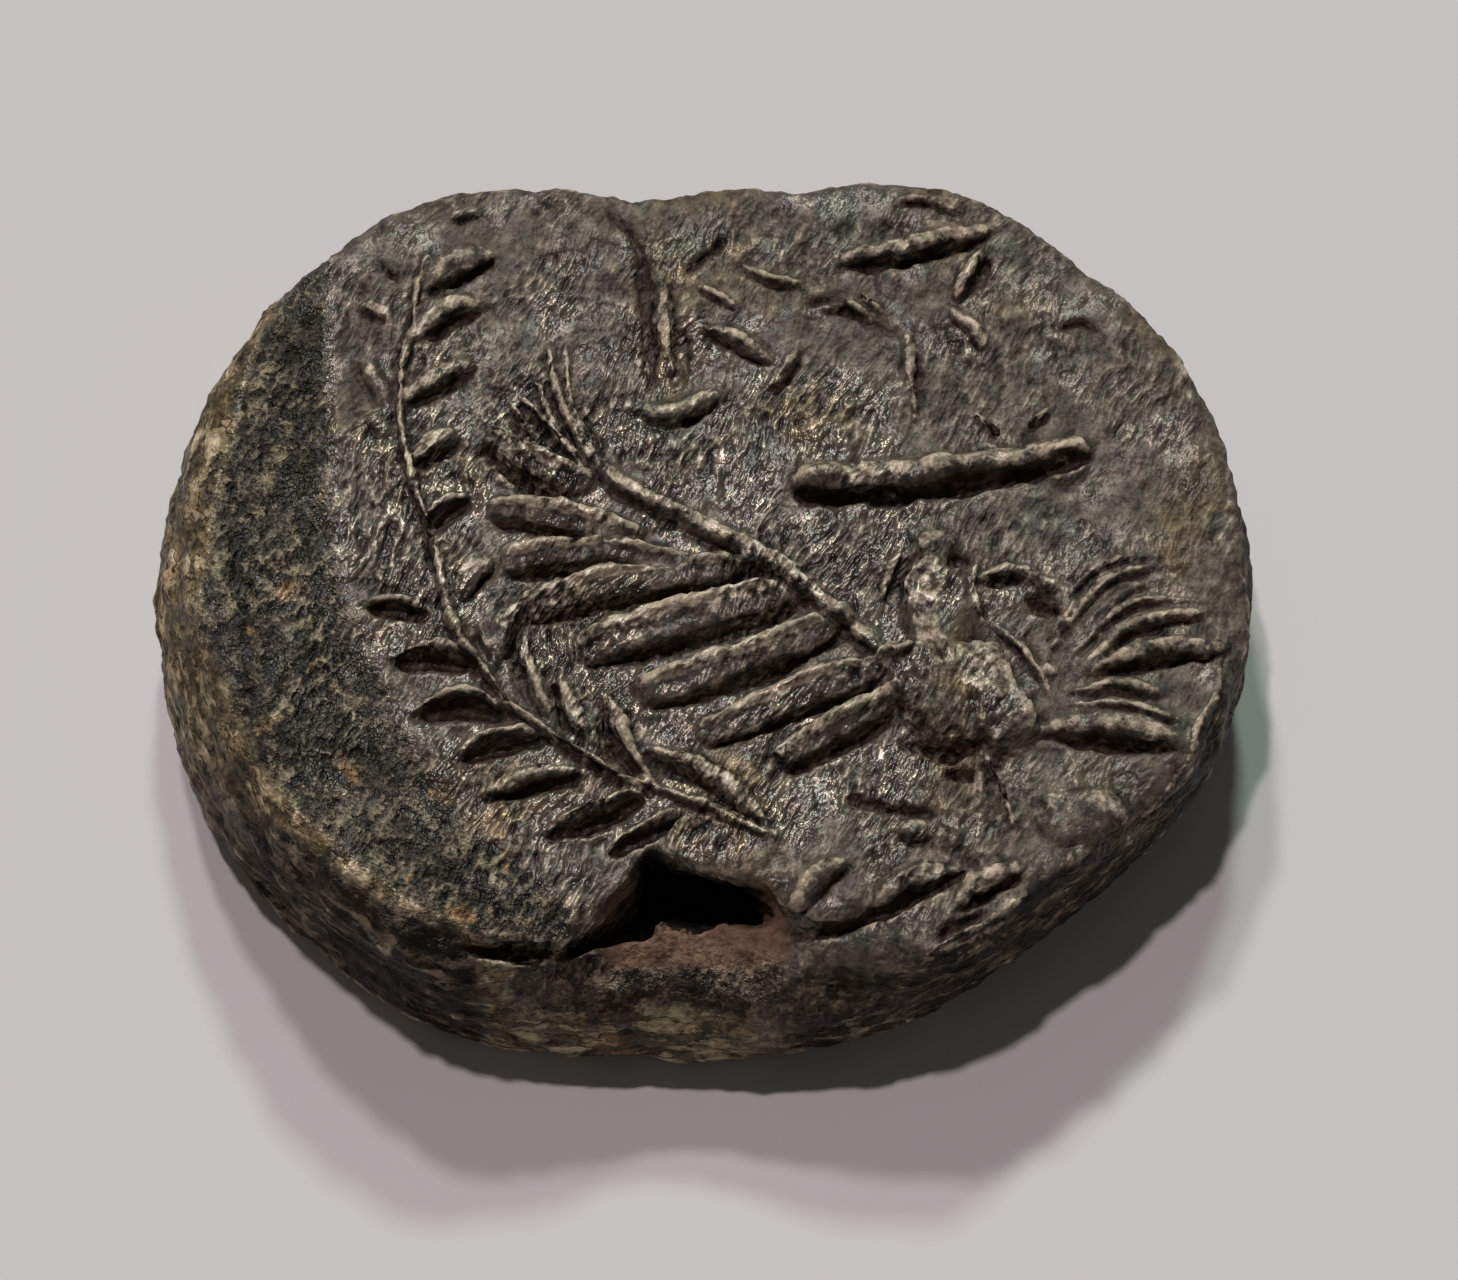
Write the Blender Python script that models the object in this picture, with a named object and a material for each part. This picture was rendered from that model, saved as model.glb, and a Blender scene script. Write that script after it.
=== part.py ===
"""A small lead seal: one oval lump of lead with a struck picture on its upper face.

The lump is wider than it is deep. The die struck it off centre, so the upper face keeps a broad
rounded shoulder on its left and lower left, and runs out to the edge elsewhere. At the front the
metal is torn open at the mouth of a hollow, and a lower lip stands in front of the tear.
Lengths are in millimetres until the end, where one scale turns them into metres.
"""
import math

import bmesh
import bpy
from mathutils import Vector
from mathutils.bvhtree import BVHTree
from mathutils.geometry import interpolate_bezier

NAME = "lead_seal"
METRES_PER_MM = 0.001

# --- driving dimensions, mm ------------------------------------------------------------------
AROUND = 96                 # points in each ring of the lump
FIELD_TOP = 4.85            # height of the struck field
RIGHT_FALL = 0.035          # the field falls this much for each mm past RIGHT_FALL_FROM
RIGHT_FALL_FROM = 3.0
SINK = 0.12                 # part of a ridge's radius that its middle line lies under the field
TUBE_SIDES = 2              # bevel resolution of a ridge: 8 sides
END_TAPER = 0.30            # radius at a ridge's ends, as a part of its middle radius

# The lump's widest outline, going round from the right.
OUTLINE = (
    (12.2, 0.0), (12.0, 2.3), (11.6, 4.2), (10.6, 6.1), (9.2, 7.55), (7.7, 8.9), (6.0, 9.8),
    (3.9, 10.1), (2.2, 9.9), (0.8, 10.0), (-0.7, 9.68), (-2.2, 9.75), (-3.9, 9.95), (-5.9, 9.85),
    (-7.6, 8.9), (-9.3, 7.55), (-10.9, 5.6), (-11.85, 3.0), (-12.15, 0.2), (-11.65, -2.4),
    (-10.5, -5.1), (-8.7, -7.4), (-6.4, -9.05), (-3.8, -9.65), (-0.7, -9.72), (2.3, -9.65),
    (4.8, -9.1), (7.0, -7.65), (9.0, -6.05), (10.7, -4.3), (11.8, -2.3),
)

# Three ways down from the field to the base, as (inset from the outline, height), base first.
PLAIN_EDGE = (
    (1.7, 0.0), (0.95, 0.18), (0.45, 0.7), (0.15, 1.5), (0.0, 2.5), (0.0, 3.4), (0.06, 4.1),
    (0.25, 4.58), (0.62, 4.78), (1.3, 4.82), (2.2, 4.84),
)
SHOULDER = (
    (2.6, 0.0), (1.5, 0.3), (0.7, 0.9), (0.2, 1.6), (0.0, 2.4), (0.18, 3.3), (0.55, 4.2),
    (1.0, 4.85), (1.6, 5.15), (2.5, 4.98), (3.7, 4.72),
)
LEANING_FRONT = (
    (1.2, 0.0), (0.6, 0.15), (0.15, 0.5), (0.0, 1.1), (0.02, 1.7), (0.15, 2.3), (0.6, 2.95),
    (1.15, 3.45), (1.8, 4.05), (2.5, 4.55), (3.2, 4.8),
)
SHOULDER_MIDDLE = 197.0     # direction of the broadest shoulder, degrees
SHOULDER_SPREAD = 78.0      # it fades to nothing this far to either side
FRONT_MIDDLE = 264.0
FRONT_SPREAD = 48.0
FIELD_RINGS = (0.74, 0.5, 0.26)


def smooth_step(value):
    value = min(max(value, 0.0), 1.0)
    return value * value * (3.0 - 2.0 * value)


def nearness(angle, middle, spread):
    """1 at the middle direction, falling smoothly to 0 at the spread."""
    away = abs((angle - middle + 180.0) % 360.0 - 180.0)
    return smooth_step(1.0 - away / spread)


def along(points, part):
    """The place at a part (0 to 1) of the length of a line through points."""
    places = [Vector(point) for point in points]
    lengths = [(b - a).length for a, b in zip(places, places[1:])]
    left = part * sum(lengths)
    for a, b, length in zip(places, places[1:], lengths):
        if left <= length:
            return a.lerp(b, left / length)
        left -= length
    return places[-1]


def smooth_outline(count):
    """The outline as a closed Catmull-Rom curve, cut into points an even distance apart."""
    corners = [Vector((x, y, 0.0)) for x, y in OUTLINE]
    fine = []
    for index, start in enumerate(corners):
        end = corners[(index + 1) % len(corners)]
        leaving = (end - corners[index - 1]) / 6.0
        arriving = (corners[(index + 2) % len(corners)] - start) / 6.0
        fine += interpolate_bezier(start, start + leaving, end - arriving, end, 9)[:-1]
    fine.append(fine[0])
    return [along(fine, step / count) for step in range(count)]


def field_height(x):
    return FIELD_TOP - RIGHT_FALL * max(x - RIGHT_FALL_FROM, 0.0)


def lump_rings():
    """Rings of points from the base's edge up the side, over the rim and in across the field."""
    rings = [[] for _ in range(len(PLAIN_EDGE) + len(FIELD_RINGS))]
    for edge in smooth_outline(AROUND):
        angle = math.degrees(math.atan2(edge.y, edge.x))
        shoulder = nearness(angle, SHOULDER_MIDDLE, SHOULDER_SPREAD)
        front = nearness(angle, FRONT_MIDDLE, FRONT_SPREAD) * (1.0 - shoulder)
        plain = 1.0 - shoulder - front
        for level in range(len(PLAIN_EDGE)):
            inset = (plain * PLAIN_EDGE[level][0] + shoulder * SHOULDER[level][0]
                     + front * LEANING_FRONT[level][0])
            height = (plain * PLAIN_EDGE[level][1] + shoulder * SHOULDER[level][1]
                      + front * LEANING_FRONT[level][1])
            point = edge - edge.normalized() * inset
            fall = FIELD_TOP - field_height(point.x)
            point.z = height - fall * height / FIELD_TOP
            rings[level].append(point)
        rim = rings[len(PLAIN_EDGE) - 1][-1]
        for number, part in enumerate(FIELD_RINGS):
            point = Vector((rim.x * part, rim.y * part, 0.0))
            blend = smooth_step((1.0 - part) * 2.0)
            point.z = rim.z * (1.0 - blend) + field_height(point.x) * blend
            rings[len(PLAIN_EDGE) + number].append(point)
    return rings


def make_lump():
    """The plain lump: rings joined by faces, a flat base and a fan at the field's middle."""
    mesh = bpy.data.meshes.new(NAME)
    shape = bmesh.new()
    rows = [[shape.verts.new(point) for point in ring] for ring in lump_rings()]
    shape.faces.new(list(reversed(rows[0])))
    for lower, upper in zip(rows, rows[1:]):
        for step in range(AROUND):
            after = (step + 1) % AROUND
            shape.faces.new((lower[step], lower[after], upper[after], upper[step]))
    middle = shape.verts.new((0.0, 0.0, FIELD_TOP))
    for step in range(AROUND):
        shape.faces.new((rows[-1][step], rows[-1][(step + 1) % AROUND], middle))
    shape.to_mesh(mesh)
    shape.free()
    return bpy.data.objects.new(NAME, mesh)


# --- ridges: tapered tubes half sunk in the field ---------------------------------------------
class Ground:
    """The lump's upper surface, asked for its height at a place."""

    def __init__(self, lump):
        shape = bmesh.new()
        shape.from_mesh(lump.data)
        self.tree = BVHTree.FromBMesh(shape)
        shape.free()

    def height(self, x, y):
        hit = self.tree.ray_cast(Vector((x, y, 20.0)), Vector((0.0, 0.0, -1.0)))[0]
        return hit.z if hit else 0.0


def make_tube(name, places, radii, collection):
    """A tube through places, of its own radius at each, as a closed mesh object."""
    curve = bpy.data.curves.new(name, "CURVE")
    curve.dimensions = "3D"
    curve.bevel_depth = 1.0
    curve.bevel_resolution = TUBE_SIDES
    curve.use_fill_caps = True
    line = curve.splines.new("POLY")
    line.points.add(len(places) - 1)
    for point, place, radius in zip(line.points, places, radii):
        point.co = (place[0], place[1], place[2], 1.0)
        point.radius = radius
    guide = bpy.data.objects.new(name, curve)
    collection.objects.link(guide)
    seen = guide.evaluated_get(bpy.context.evaluated_depsgraph_get())
    mesh = bpy.data.meshes.new_from_object(seen)
    bpy.data.objects.remove(guide)
    bpy.data.curves.remove(curve)
    shape = bmesh.new()
    shape.from_mesh(mesh)
    bmesh.ops.remove_doubles(shape, verts=shape.verts, dist=0.0001)
    bmesh.ops.recalc_face_normals(shape, faces=shape.faces)
    shape.to_mesh(mesh)
    shape.free()
    tube = bpy.data.objects.new(name, mesh)
    collection.objects.link(tube)
    return tube


class Relief:
    """Adds ridges and bosses on the ground, each as an object in one collection."""

    def __init__(self, ground, collection):
        self.ground = ground
        self.collection = collection
        self.count = 0

    def ridge(self, points, width, stations=5, start=END_TAPER, end=END_TAPER):
        """A ridge along points, thickest in its middle."""
        self.count += 1
        places = []
        radii = []
        for station in range(stations):
            part = station / (stations - 1)
            ends = start * (1.0 - part) + end * part
            swell = ends + (1.0 - ends) * math.sin(math.pi * part)
            radius = 0.5 * width * swell
            place = along(points, part)
            height = self.ground.height(place.x, place.y) - SINK * radius
            places.append((place.x, place.y, height))
            radii.append(radius)
        make_tube(f"ridge_{self.count}", places, radii, self.collection)

    def boss(self, x, y, half_x, half_y, rise, turn=0.0):
        """A rounded boss, a squashed ball half sunk in the field."""
        self.count += 1
        mesh = bpy.data.meshes.new("boss")
        shape = bmesh.new()
        bmesh.ops.create_uvsphere(shape, u_segments=20, v_segments=12, radius=1.0)
        shape.to_mesh(mesh)
        shape.free()
        ball = bpy.data.objects.new(f"boss_{self.count}", mesh)
        ball.location = (x, y, self.ground.height(x, y))
        ball.rotation_euler.z = math.radians(turn)
        ball.scale = (half_x, half_y, rise)
        self.collection.objects.link(ball)

    def leaves(self, stem, parts, lengths, angles, width):
        """Leaves from a stem: lengths and angles run evenly from the first to the last leaf."""
        for number, part in enumerate(parts):
            blend = number / (len(parts) - 1)
            length = lengths[0] + (lengths[1] - lengths[0]) * blend
            angle = math.radians(angles[0] + (angles[1] - angles[0]) * blend)
            root = along(stem, part)
            tip = root + Vector((math.cos(angle), math.sin(angle))) * length
            self.ridge((root, tip), width, stations=4)

    def fan(self, roots, tips, count, width):
        """Ridges from one line to another, evenly spaced on both."""
        for number in range(count):
            part = number / (count - 1)
            self.ridge((along(roots, part), along(tips, part)), width)


# --- the struck picture ------------------------------------------------------------------------
BRANCH_STEM = (
    (-6.3, 8.2), (-6.6, 6.0), (-6.7, 4.5), (-6.4, 2.4), (-5.8, 0.3), (-5.0, -1.9), (-3.8, -3.3),
    (-2.2, -4.5), (-0.6, -5.3), (1.4, -6.1),
)
STEM_WIDTH = 0.42
LEAF_WIDTH = 0.8
WING_LEAD = ((-3.35, 5.8), (-3.0, 4.2), (-1.9, 2.4), (-0.4, 1.5), (1.2, 0.8), (2.6, -0.4), (4.2, -1.9))
FEATHER_TIPS = (
    (-4.2, 3.4), (-4.2, 1.9), (-3.8, 0.7), (-3.5, -0.2), (-2.2, -1.2), (-0.9, -2.3), (0.3, -3.2),
    (1.9, -3.9),
)
FEATHER_ROOTS = ((-2.4, 2.6), (-0.9, 1.3), (0.3, 0.7), (1.6, 0.2), (2.6, -0.9), (3.9, -2.3), (4.1, -2.8))
FEATHER_COUNT = 8
FEATHER_WIDTH = 0.86


def strike_branch(relief):
    """The leafy branch round the left of the field: a stem with leaves on both sides."""
    relief.ridge(BRANCH_STEM, STEM_WIDTH, stations=15)
    inner = (0.02, 0.10, 0.19, 0.275, 0.37, 0.455, 0.54)
    relief.leaves(BRANCH_STEM, inner, lengths=(1.8, 1.05), angles=(34.0, 52.0), width=LEAF_WIDTH)
    upper_outer = (0.06, 0.13, 0.21, 0.28)
    relief.leaves(BRANCH_STEM, upper_outer, (0.85, 0.8), (135.0, 155.0), width=0.5)
    lower_outer = (0.46, 0.54, 0.615, 0.69, 0.775, 0.85, 0.92)
    relief.leaves(BRANCH_STEM, lower_outer, (1.5, 1.9), (182.0, 219.0), width=LEAF_WIDTH)
    beside = (0.665, 0.75)
    relief.leaves(BRANCH_STEM, beside, (1.5, 1.6), (101.0, 108.0), width=LEAF_WIDTH)
    relief.ridge(((-1.1, -4.3), (0.6, -4.8), (1.3, -5.6)), 0.6)


def strike_wing(relief):
    """The left wing: a leading edge with feathers hanging from it."""
    relief.ridge(WING_LEAD, 0.62, stations=11)
    relief.ridge(((-4.2, 4.2), (-3.6, 3.9), (-2.9, 3.2)), 0.4)
    relief.ridge(((-3.6, 5.5), (-3.5, 4.7), (-2.9, 3.7)), 0.34)
    relief.fan(FEATHER_TIPS, FEATHER_ROOTS, FEATHER_COUNT, FEATHER_WIDTH)


def strike_figure(relief):
    """The winged figure's body, head, right wing and legs."""
    relief.boss(5.4, -2.3, 1.55, 1.6, 0.85, turn=-15.0)
    relief.boss(5.1, -0.2, 0.8, 1.2, 0.6, turn=8.0)
    relief.boss(5.2, 0.85, 0.38, 0.36, 0.55)
    relief.ridge(((6.2, 0.6), (6.3, -0.8), (7.0, -1.9), (7.7, -2.9)), 0.5, stations=6)
    relief.ridge(((6.3, 0.3), (7.0, 0.6), (7.6, 0.2), (7.85, -0.8)), 0.55, stations=6)
    wing_roots = ((8.1, -0.6), (8.2, -1.6), (8.3, -2.5), (7.7, -3.5))
    wing_tips = ((11.1, 0.6), (11.5, -0.9), (11.3, -1.9), (10.5, -3.9))
    relief.fan(wing_roots, wing_tips, 6, 0.6)
    relief.ridge(((5.9, -4.1), (6.3, -4.9), (6.8, -5.9)), 0.6)
    relief.ridge(((4.6, -4.2), (4.2, -5.0), (3.1, -5.2)), 0.5)
    relief.ridge(((7.3, -4.6), (8.2, -5.2), (8.9, -5.2)), 0.8)


def strike_bar_and_strokes(relief):
    """The long bar and two rows of loose shallow strokes above it."""
    relief.ridge(((2.55, 2.35), (4.6, 2.5), (8.2, 3.1)), 0.78, stations=7, start=0.8, end=0.8)
    upper_row = ((-1.3, 8.2, 100, 1.6), (0.4, 7.9, 40, 1.2), (2.0, 8.3, 160, 1.0), (4.9, 8.4, 9, 2.6))
    lower_row = (
        (-0.75, 5.6, 88, 2.6), (0.9, 5.55, -24, 1.6), (1.9, 4.8, 62, 1.0), (3.3, 6.7, -14, 1.8),
        (4.8, 4.9, 85, 2.2), (6.1, 7.3, 58, 1.7), (6.6, 4.0, -50, 1.2), (8.7, 6.2, -16, 1.2),
        (-0.4, 4.05, 14, 1.5),
    )
    for x, y, angle, length in upper_row + lower_row:
        reach = Vector((math.cos(math.radians(angle)), math.sin(math.radians(angle)))) * length / 2
        middle = Vector((x, y))
        relief.ridge((middle - reach, middle + reach), 0.5, stations=4)


def strike_rim_folds(relief):
    """Short slanting folds where the field meets the torn front edge."""
    roots = ((1.9, -7.6), (3.4, -7.9), (5.1, -8.1), (6.7, -7.1))
    tips = ((3.0, -6.7), (4.8, -6.9), (6.6, -6.9), (8.0, -6.0))
    relief.fan(roots, tips, 4, 0.8)


# --- the tear ------------------------------------------------------------------------------------
# The struck sheet's torn edge, and the inner edge of the broken face below it, left to right.
TORN_EDGE = (
    (-3.3, -8.62), (-2.9, -8.4), (-2.3, -7.85), (-1.7, -7.4), (-1.3, -6.95), (-0.95, -6.55),
    (-0.5, -6.78), (0.0, -6.87), (0.9, -7.05), (1.4, -7.35), (1.7, -7.8), (2.0, -8.02),
    (2.7, -8.05),
)
BROKEN_EDGE = (
    (-3.3, -8.7), (-2.4, -8.35), (-1.5, -8.15), (-1.05, -8.2), (-0.95, -7.9), (-0.7, -7.6),
    (-0.35, -7.4), (0.3, -7.62), (1.1, -7.9), (1.75, -7.83), (2.0, -8.06), (2.7, -8.1),
)
LEDGE_HEIGHT = 3.92         # the broken face, at LEDGE_EDGE
LEDGE_EDGE = -7.4
LEDGE_SLOPE = 0.42          # it falls this much for each mm towards the front
RIGHT_RISE = 0.45           # and rises towards its two ends
RIGHT_RISE_FROM = 1.0
LEFT_RISE = 0.3
LEFT_RISE_FROM = -1.8
HOLE_FLOOR = 1.9
HOLE_INSET = 0.06           # the hole's back wall stands this far in front of the torn edge
PAST_THE_FRONT = -10.6


def height_on(line, x):
    """The y of a line that runs from left to right, at x."""
    for (left, low), (right, high) in zip(line, line[1:]):
        if x <= right:
            return low + (high - low) * (x - left) / (right - left)
    return line[-1][1]


def ledge_height(x, y):
    """The height of the broken face."""
    rise = RIGHT_RISE * max(x - RIGHT_RISE_FROM, 0.0) ** 1.5 + LEFT_RISE * max(LEFT_RISE_FROM - x, 0.0)
    return LEDGE_HEIGHT + LEDGE_SLOPE * (y - LEDGE_EDGE) + rise


def hole_floor(_x, _y):
    return HOLE_FLOOR


def make_plug(name, places, back, front, floor, deep, collection):
    """A solid above a floor, between a back and a front line, with a column at each place in x."""
    shape = bmesh.new()
    rows = []
    for x in places:
        far, near = height_on(back, x), height_on(front, x)
        row = []
        for step in range(deep + 1):
            y = far + (near - far) * step / deep
            row.append((shape.verts.new((x, y, floor(x, y))), shape.verts.new((x, y, 2.0 * FIELD_TOP))))
        rows.append(row)
    for level in (0, 1):
        for left, right in zip(rows, rows[1:]):
            for step in range(deep):
                shape.faces.new((
                    left[step][level], right[step][level], right[step + 1][level],
                    left[step + 1][level]))
    rim = rows[0] + [row[deep] for row in rows[1:]]
    rim += list(reversed(rows[-1][:deep])) + [row[0] for row in reversed(rows[1:-1])]
    for number, pair in enumerate(rim):
        after = rim[(number + 1) % len(rim)]
        shape.faces.new((pair[0], after[0], after[1], pair[1]))
    bmesh.ops.triangulate(shape, faces=shape.faces)
    bmesh.ops.recalc_face_normals(shape, faces=shape.faces)
    mesh = bpy.data.meshes.new(name)
    shape.to_mesh(mesh)
    shape.free()
    collection.objects.link(bpy.data.objects.new(name, mesh))


def make_crack(name, route, radii, ground, collection):
    """A groove as deep as its own radius, along a route on the ground."""
    places = [(x, y, ground.height(x, y)) for x, y in route]
    make_tube(name, places, radii, collection)


def make_tear(ground, collection):
    """The broken face, the hole and hollow behind it, and the cracks that go on to either side."""
    torn_places = [point[0] for point in TORN_EDGE]
    front = ((TORN_EDGE[0][0], PAST_THE_FRONT), (TORN_EDGE[-1][0], PAST_THE_FRONT))
    make_plug("broken_face", torn_places, TORN_EDGE, front, ledge_height, 6, collection)
    hole_places = sorted({point[0] for point in TORN_EDGE[1:-3] + BROKEN_EDGE[2:-3]})
    hole_back = [(x, y - HOLE_INSET) for x, y in TORN_EDGE]
    make_plug("hole", hole_places, hole_back, BROKEN_EDGE, hole_floor, 1, collection)
    hollow = ((-0.1, -7.6, 2.9), (0.1, -6.9, 3.2), (0.4, -5.6, 3.1), (0.6, -4.0, 2.9))
    make_tube("hollow", hollow, (0.7, 1.05, 0.9, 0.3), collection)
    side_pocket = ((-2.4, -8.1, 3.7), (-1.2, -7.5, 3.75), (0.2, -7.0, 3.65), (1.6, -7.6, 3.85))
    make_tube("side_pocket", side_pocket, (0.2, 0.4, 0.6, 0.3), collection)
    left_crack = ((-5.4, -8.5), (-4.6, -8.62), (-3.8, -8.62), (-3.1, -8.5))
    make_crack("left_crack", left_crack, (0.08, 0.15, 0.2, 0.26), ground, collection)
    right_crack = ((1.5, -7.85), (2.3, -8.1), (3.1, -8.1), (3.9, -7.8), (4.6, -7.35), (5.2, -6.85))
    make_crack("right_crack", right_crack, (0.3, 0.24, 0.2, 0.18, 0.15, 0.08), ground, collection)


# --- assembly ------------------------------------------------------------------------------------
def make_collection(name, is_guide):
    collection = bpy.data.collections.new(name)
    bpy.context.scene.collection.children.link(collection)
    collection.hide_render = is_guide
    return collection


def apply_boolean(target, operation, collection):
    """One exact Boolean with every object of a collection, made permanent."""
    step = target.modifiers.new(operation.lower(), "BOOLEAN")
    step.operation = operation
    step.operand_type = "COLLECTION"
    step.collection = collection
    step.solver = "EXACT"
    step.use_self = True
    bpy.context.view_layer.update()
    seen = target.evaluated_get(bpy.context.evaluated_depsgraph_get())
    mesh = bpy.data.meshes.new_from_object(seen)
    target.modifiers.clear()
    target.data = mesh


def keep_largest_body(shape):
    """Deletes every loose crumb that is not part of the lump itself."""
    shape.verts.ensure_lookup_table()
    seen = set()
    bodies = []
    for start in shape.verts:
        if start in seen:
            continue
        body = {start}
        queue = [start]
        while queue:
            for edge in queue.pop().link_edges:
                for vertex in edge.verts:
                    if vertex not in body:
                        body.add(vertex)
                        queue.append(vertex)
        seen |= body
        bodies.append(body)
    bodies.sort(key=len)
    for body in bodies[:-1]:
        bmesh.ops.delete(shape, geom=list(body), context="VERTS")


def tidy_mesh(seal, least_edge):
    """Welds slivers, drops crumbs, triangulates and sets the origin under the box's middle."""
    shape = bmesh.new()
    shape.from_mesh(seal.data)
    bmesh.ops.remove_doubles(shape, verts=shape.verts, dist=least_edge)
    bmesh.ops.dissolve_degenerate(shape, edges=shape.edges, dist=least_edge)
    keep_largest_body(shape)
    bmesh.ops.triangulate(shape, faces=shape.faces)
    xs = [vertex.co.x for vertex in shape.verts]
    ys = [vertex.co.y for vertex in shape.verts]
    zs = [vertex.co.z for vertex in shape.verts]
    middle = Vector((0.5 * (min(xs) + max(xs)), 0.5 * (min(ys) + max(ys)), min(zs)))
    for vertex in shape.verts:
        vertex.co = (vertex.co - middle) * METRES_PER_MM
    shape.to_mesh(seal.data)
    shape.free()


def lead_material():
    material = bpy.data.materials.new("dark_lead")
    material.use_nodes = True
    shader = material.node_tree.nodes["Principled BSDF"]
    shader.inputs["Base Color"].default_value = (0.13, 0.11, 0.09, 1.0)
    shader.inputs["Metallic"].default_value = 0.35
    shader.inputs["Roughness"].default_value = 0.55
    return material


def main():
    for thing in list(bpy.data.objects):
        bpy.data.objects.remove(thing)
    pieces = make_collection("lead_seal", False)
    ridges = make_collection("struck_ridges", True)
    cutters = make_collection("cutters", True)

    seal = make_lump()
    pieces.objects.link(seal)
    ground = Ground(seal)
    relief = Relief(ground, ridges)
    strike_branch(relief)
    strike_wing(relief)
    strike_figure(relief)
    strike_bar_and_strokes(relief)
    strike_rim_folds(relief)
    make_tear(ground, cutters)
    for guide in list(ridges.objects) + list(cutters.objects):
        guide.hide_render = True
        guide.display_type = "WIRE"

    apply_boolean(seal, "UNION", ridges)
    apply_boolean(seal, "DIFFERENCE", cutters)
    tidy_mesh(seal, least_edge=0.002)
    seal.data.materials.clear()
    seal.data.materials.append(lead_material())
    seal.data.shade_smooth()
    seal.data.set_sharp_from_angle(angle=math.radians(40.0))
    print("triangles", len(seal.data.polygons), "size mm", [round(v * 1000, 2) for v in seal.dimensions])


main()
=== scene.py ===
"""Finish of a small lead seal: its struck relief, torn edge, old patina, floor, lights and camera.

Shapes are worked in millimetres, and one scale at the end turns them into metres.
"""
import math
from functools import partialmethod

import bmesh
import bpy
import numpy as np
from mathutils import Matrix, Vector
from mathutils.geometry import interpolate_bezier


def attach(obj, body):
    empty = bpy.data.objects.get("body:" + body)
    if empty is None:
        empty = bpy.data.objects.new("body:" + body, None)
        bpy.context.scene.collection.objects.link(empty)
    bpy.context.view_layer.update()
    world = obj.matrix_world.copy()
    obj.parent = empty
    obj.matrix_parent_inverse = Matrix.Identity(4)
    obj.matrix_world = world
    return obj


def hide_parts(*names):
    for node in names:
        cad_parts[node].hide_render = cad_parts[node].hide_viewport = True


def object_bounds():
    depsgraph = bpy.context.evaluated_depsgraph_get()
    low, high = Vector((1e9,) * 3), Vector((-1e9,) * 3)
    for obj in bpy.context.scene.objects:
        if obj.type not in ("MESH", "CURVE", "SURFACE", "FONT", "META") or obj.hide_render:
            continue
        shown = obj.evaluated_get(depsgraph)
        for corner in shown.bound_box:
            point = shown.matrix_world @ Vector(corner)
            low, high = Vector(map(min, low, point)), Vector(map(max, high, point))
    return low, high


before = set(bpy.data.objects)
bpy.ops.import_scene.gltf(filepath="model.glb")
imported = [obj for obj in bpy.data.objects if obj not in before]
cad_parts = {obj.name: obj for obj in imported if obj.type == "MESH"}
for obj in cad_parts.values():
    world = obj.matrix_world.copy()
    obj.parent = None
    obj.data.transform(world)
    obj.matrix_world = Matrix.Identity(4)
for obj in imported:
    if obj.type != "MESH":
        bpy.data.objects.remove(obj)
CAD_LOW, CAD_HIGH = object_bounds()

MM = 0.001
SEED, SEED_STEP = 7, 3.0
VOXEL = 0.06
UNSTRUCK_VOXEL = 1.3 * VOXEL
MOST_TRIANGLES = 192000
# How readily the mesh is thinned out in each part.
UNKEPT = {"top": 0.15, "side": 0.5, "under": 1.0}

# --- the lump ---
AROUND = 300
ACROSS = 44
FIELD_TOP = 4.85
RIGHT_FALL = 0.035
RIGHT_FALL_FROM = 3.0
OUTLINE = (
    (12.2, 0.0), (12.0, 2.3), (11.6, 4.2), (10.6, 6.1), (9.2, 7.55), (7.7, 8.9), (6.0, 9.8),
    (3.9, 10.1), (2.2, 9.9), (0.8, 10.0), (-0.7, 9.68), (-2.2, 9.75), (-3.9, 9.95), (-5.9, 9.85),
    (-7.6, 8.9), (-9.3, 7.55), (-10.9, 5.6), (-11.85, 3.0), (-12.15, 0.2), (-11.65, -2.4),
    (-10.5, -5.1), (-8.7, -7.4), (-6.4, -9.05), (-3.8, -9.65), (-0.7, -9.72), (2.3, -9.65),
    (4.8, -9.1), (7.0, -7.65), (9.0, -6.05), (10.7, -4.3), (11.8, -2.3),
)
# From the base up the side and in to the field, as (inset from the outline, height).
PLAIN_EDGE = (
    (1.7, 0.0), (0.95, 0.18), (0.45, 0.7), (0.15, 1.5), (0.0, 2.5), (0.0, 3.4), (0.04, 4.1),
    (0.16, 4.6), (0.45, 4.8), (1.2, 4.84), (2.2, 4.84),
)
SHOULDER = (
    (1.25, 0.0), (0.7, 0.14), (0.32, 0.5), (0.06, 1.1), (0.0, 2.0), (0.18, 3.2), (0.55, 4.2),
    (1.0, 4.85), (1.6, 5.15), (2.5, 4.98), (3.7, 4.72),
)
LEANING_FRONT = (
    (1.2, 0.0), (0.6, 0.15), (0.15, 0.5), (0.0, 1.1), (0.02, 1.7), (0.15, 2.3), (0.6, 2.95),
    (1.15, 3.45), (1.8, 4.05), (2.5, 4.55), (3.2, 4.8),
)
SHOULDER_MIDDLE, SHOULDER_SPREAD = 197.0, 78.0
FRONT_MIDDLE, FRONT_SPREAD = 264.0, 48.0
TUCK, TUCK_MIDDLE, TUCK_SPREAD = 0.5, 226.0, 30.0


def smooth_step(value):
    value = min(max(value, 0.0), 1.0)
    return value * value * (3.0 - 2.0 * value)


def nearness(angle, middle, spread):
    """1 at the middle direction, falling smoothly to 0 at the spread."""
    away = abs((angle - middle + 180.0) % 360.0 - 180.0)
    return smooth_step(1.0 - away / spread)


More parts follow.
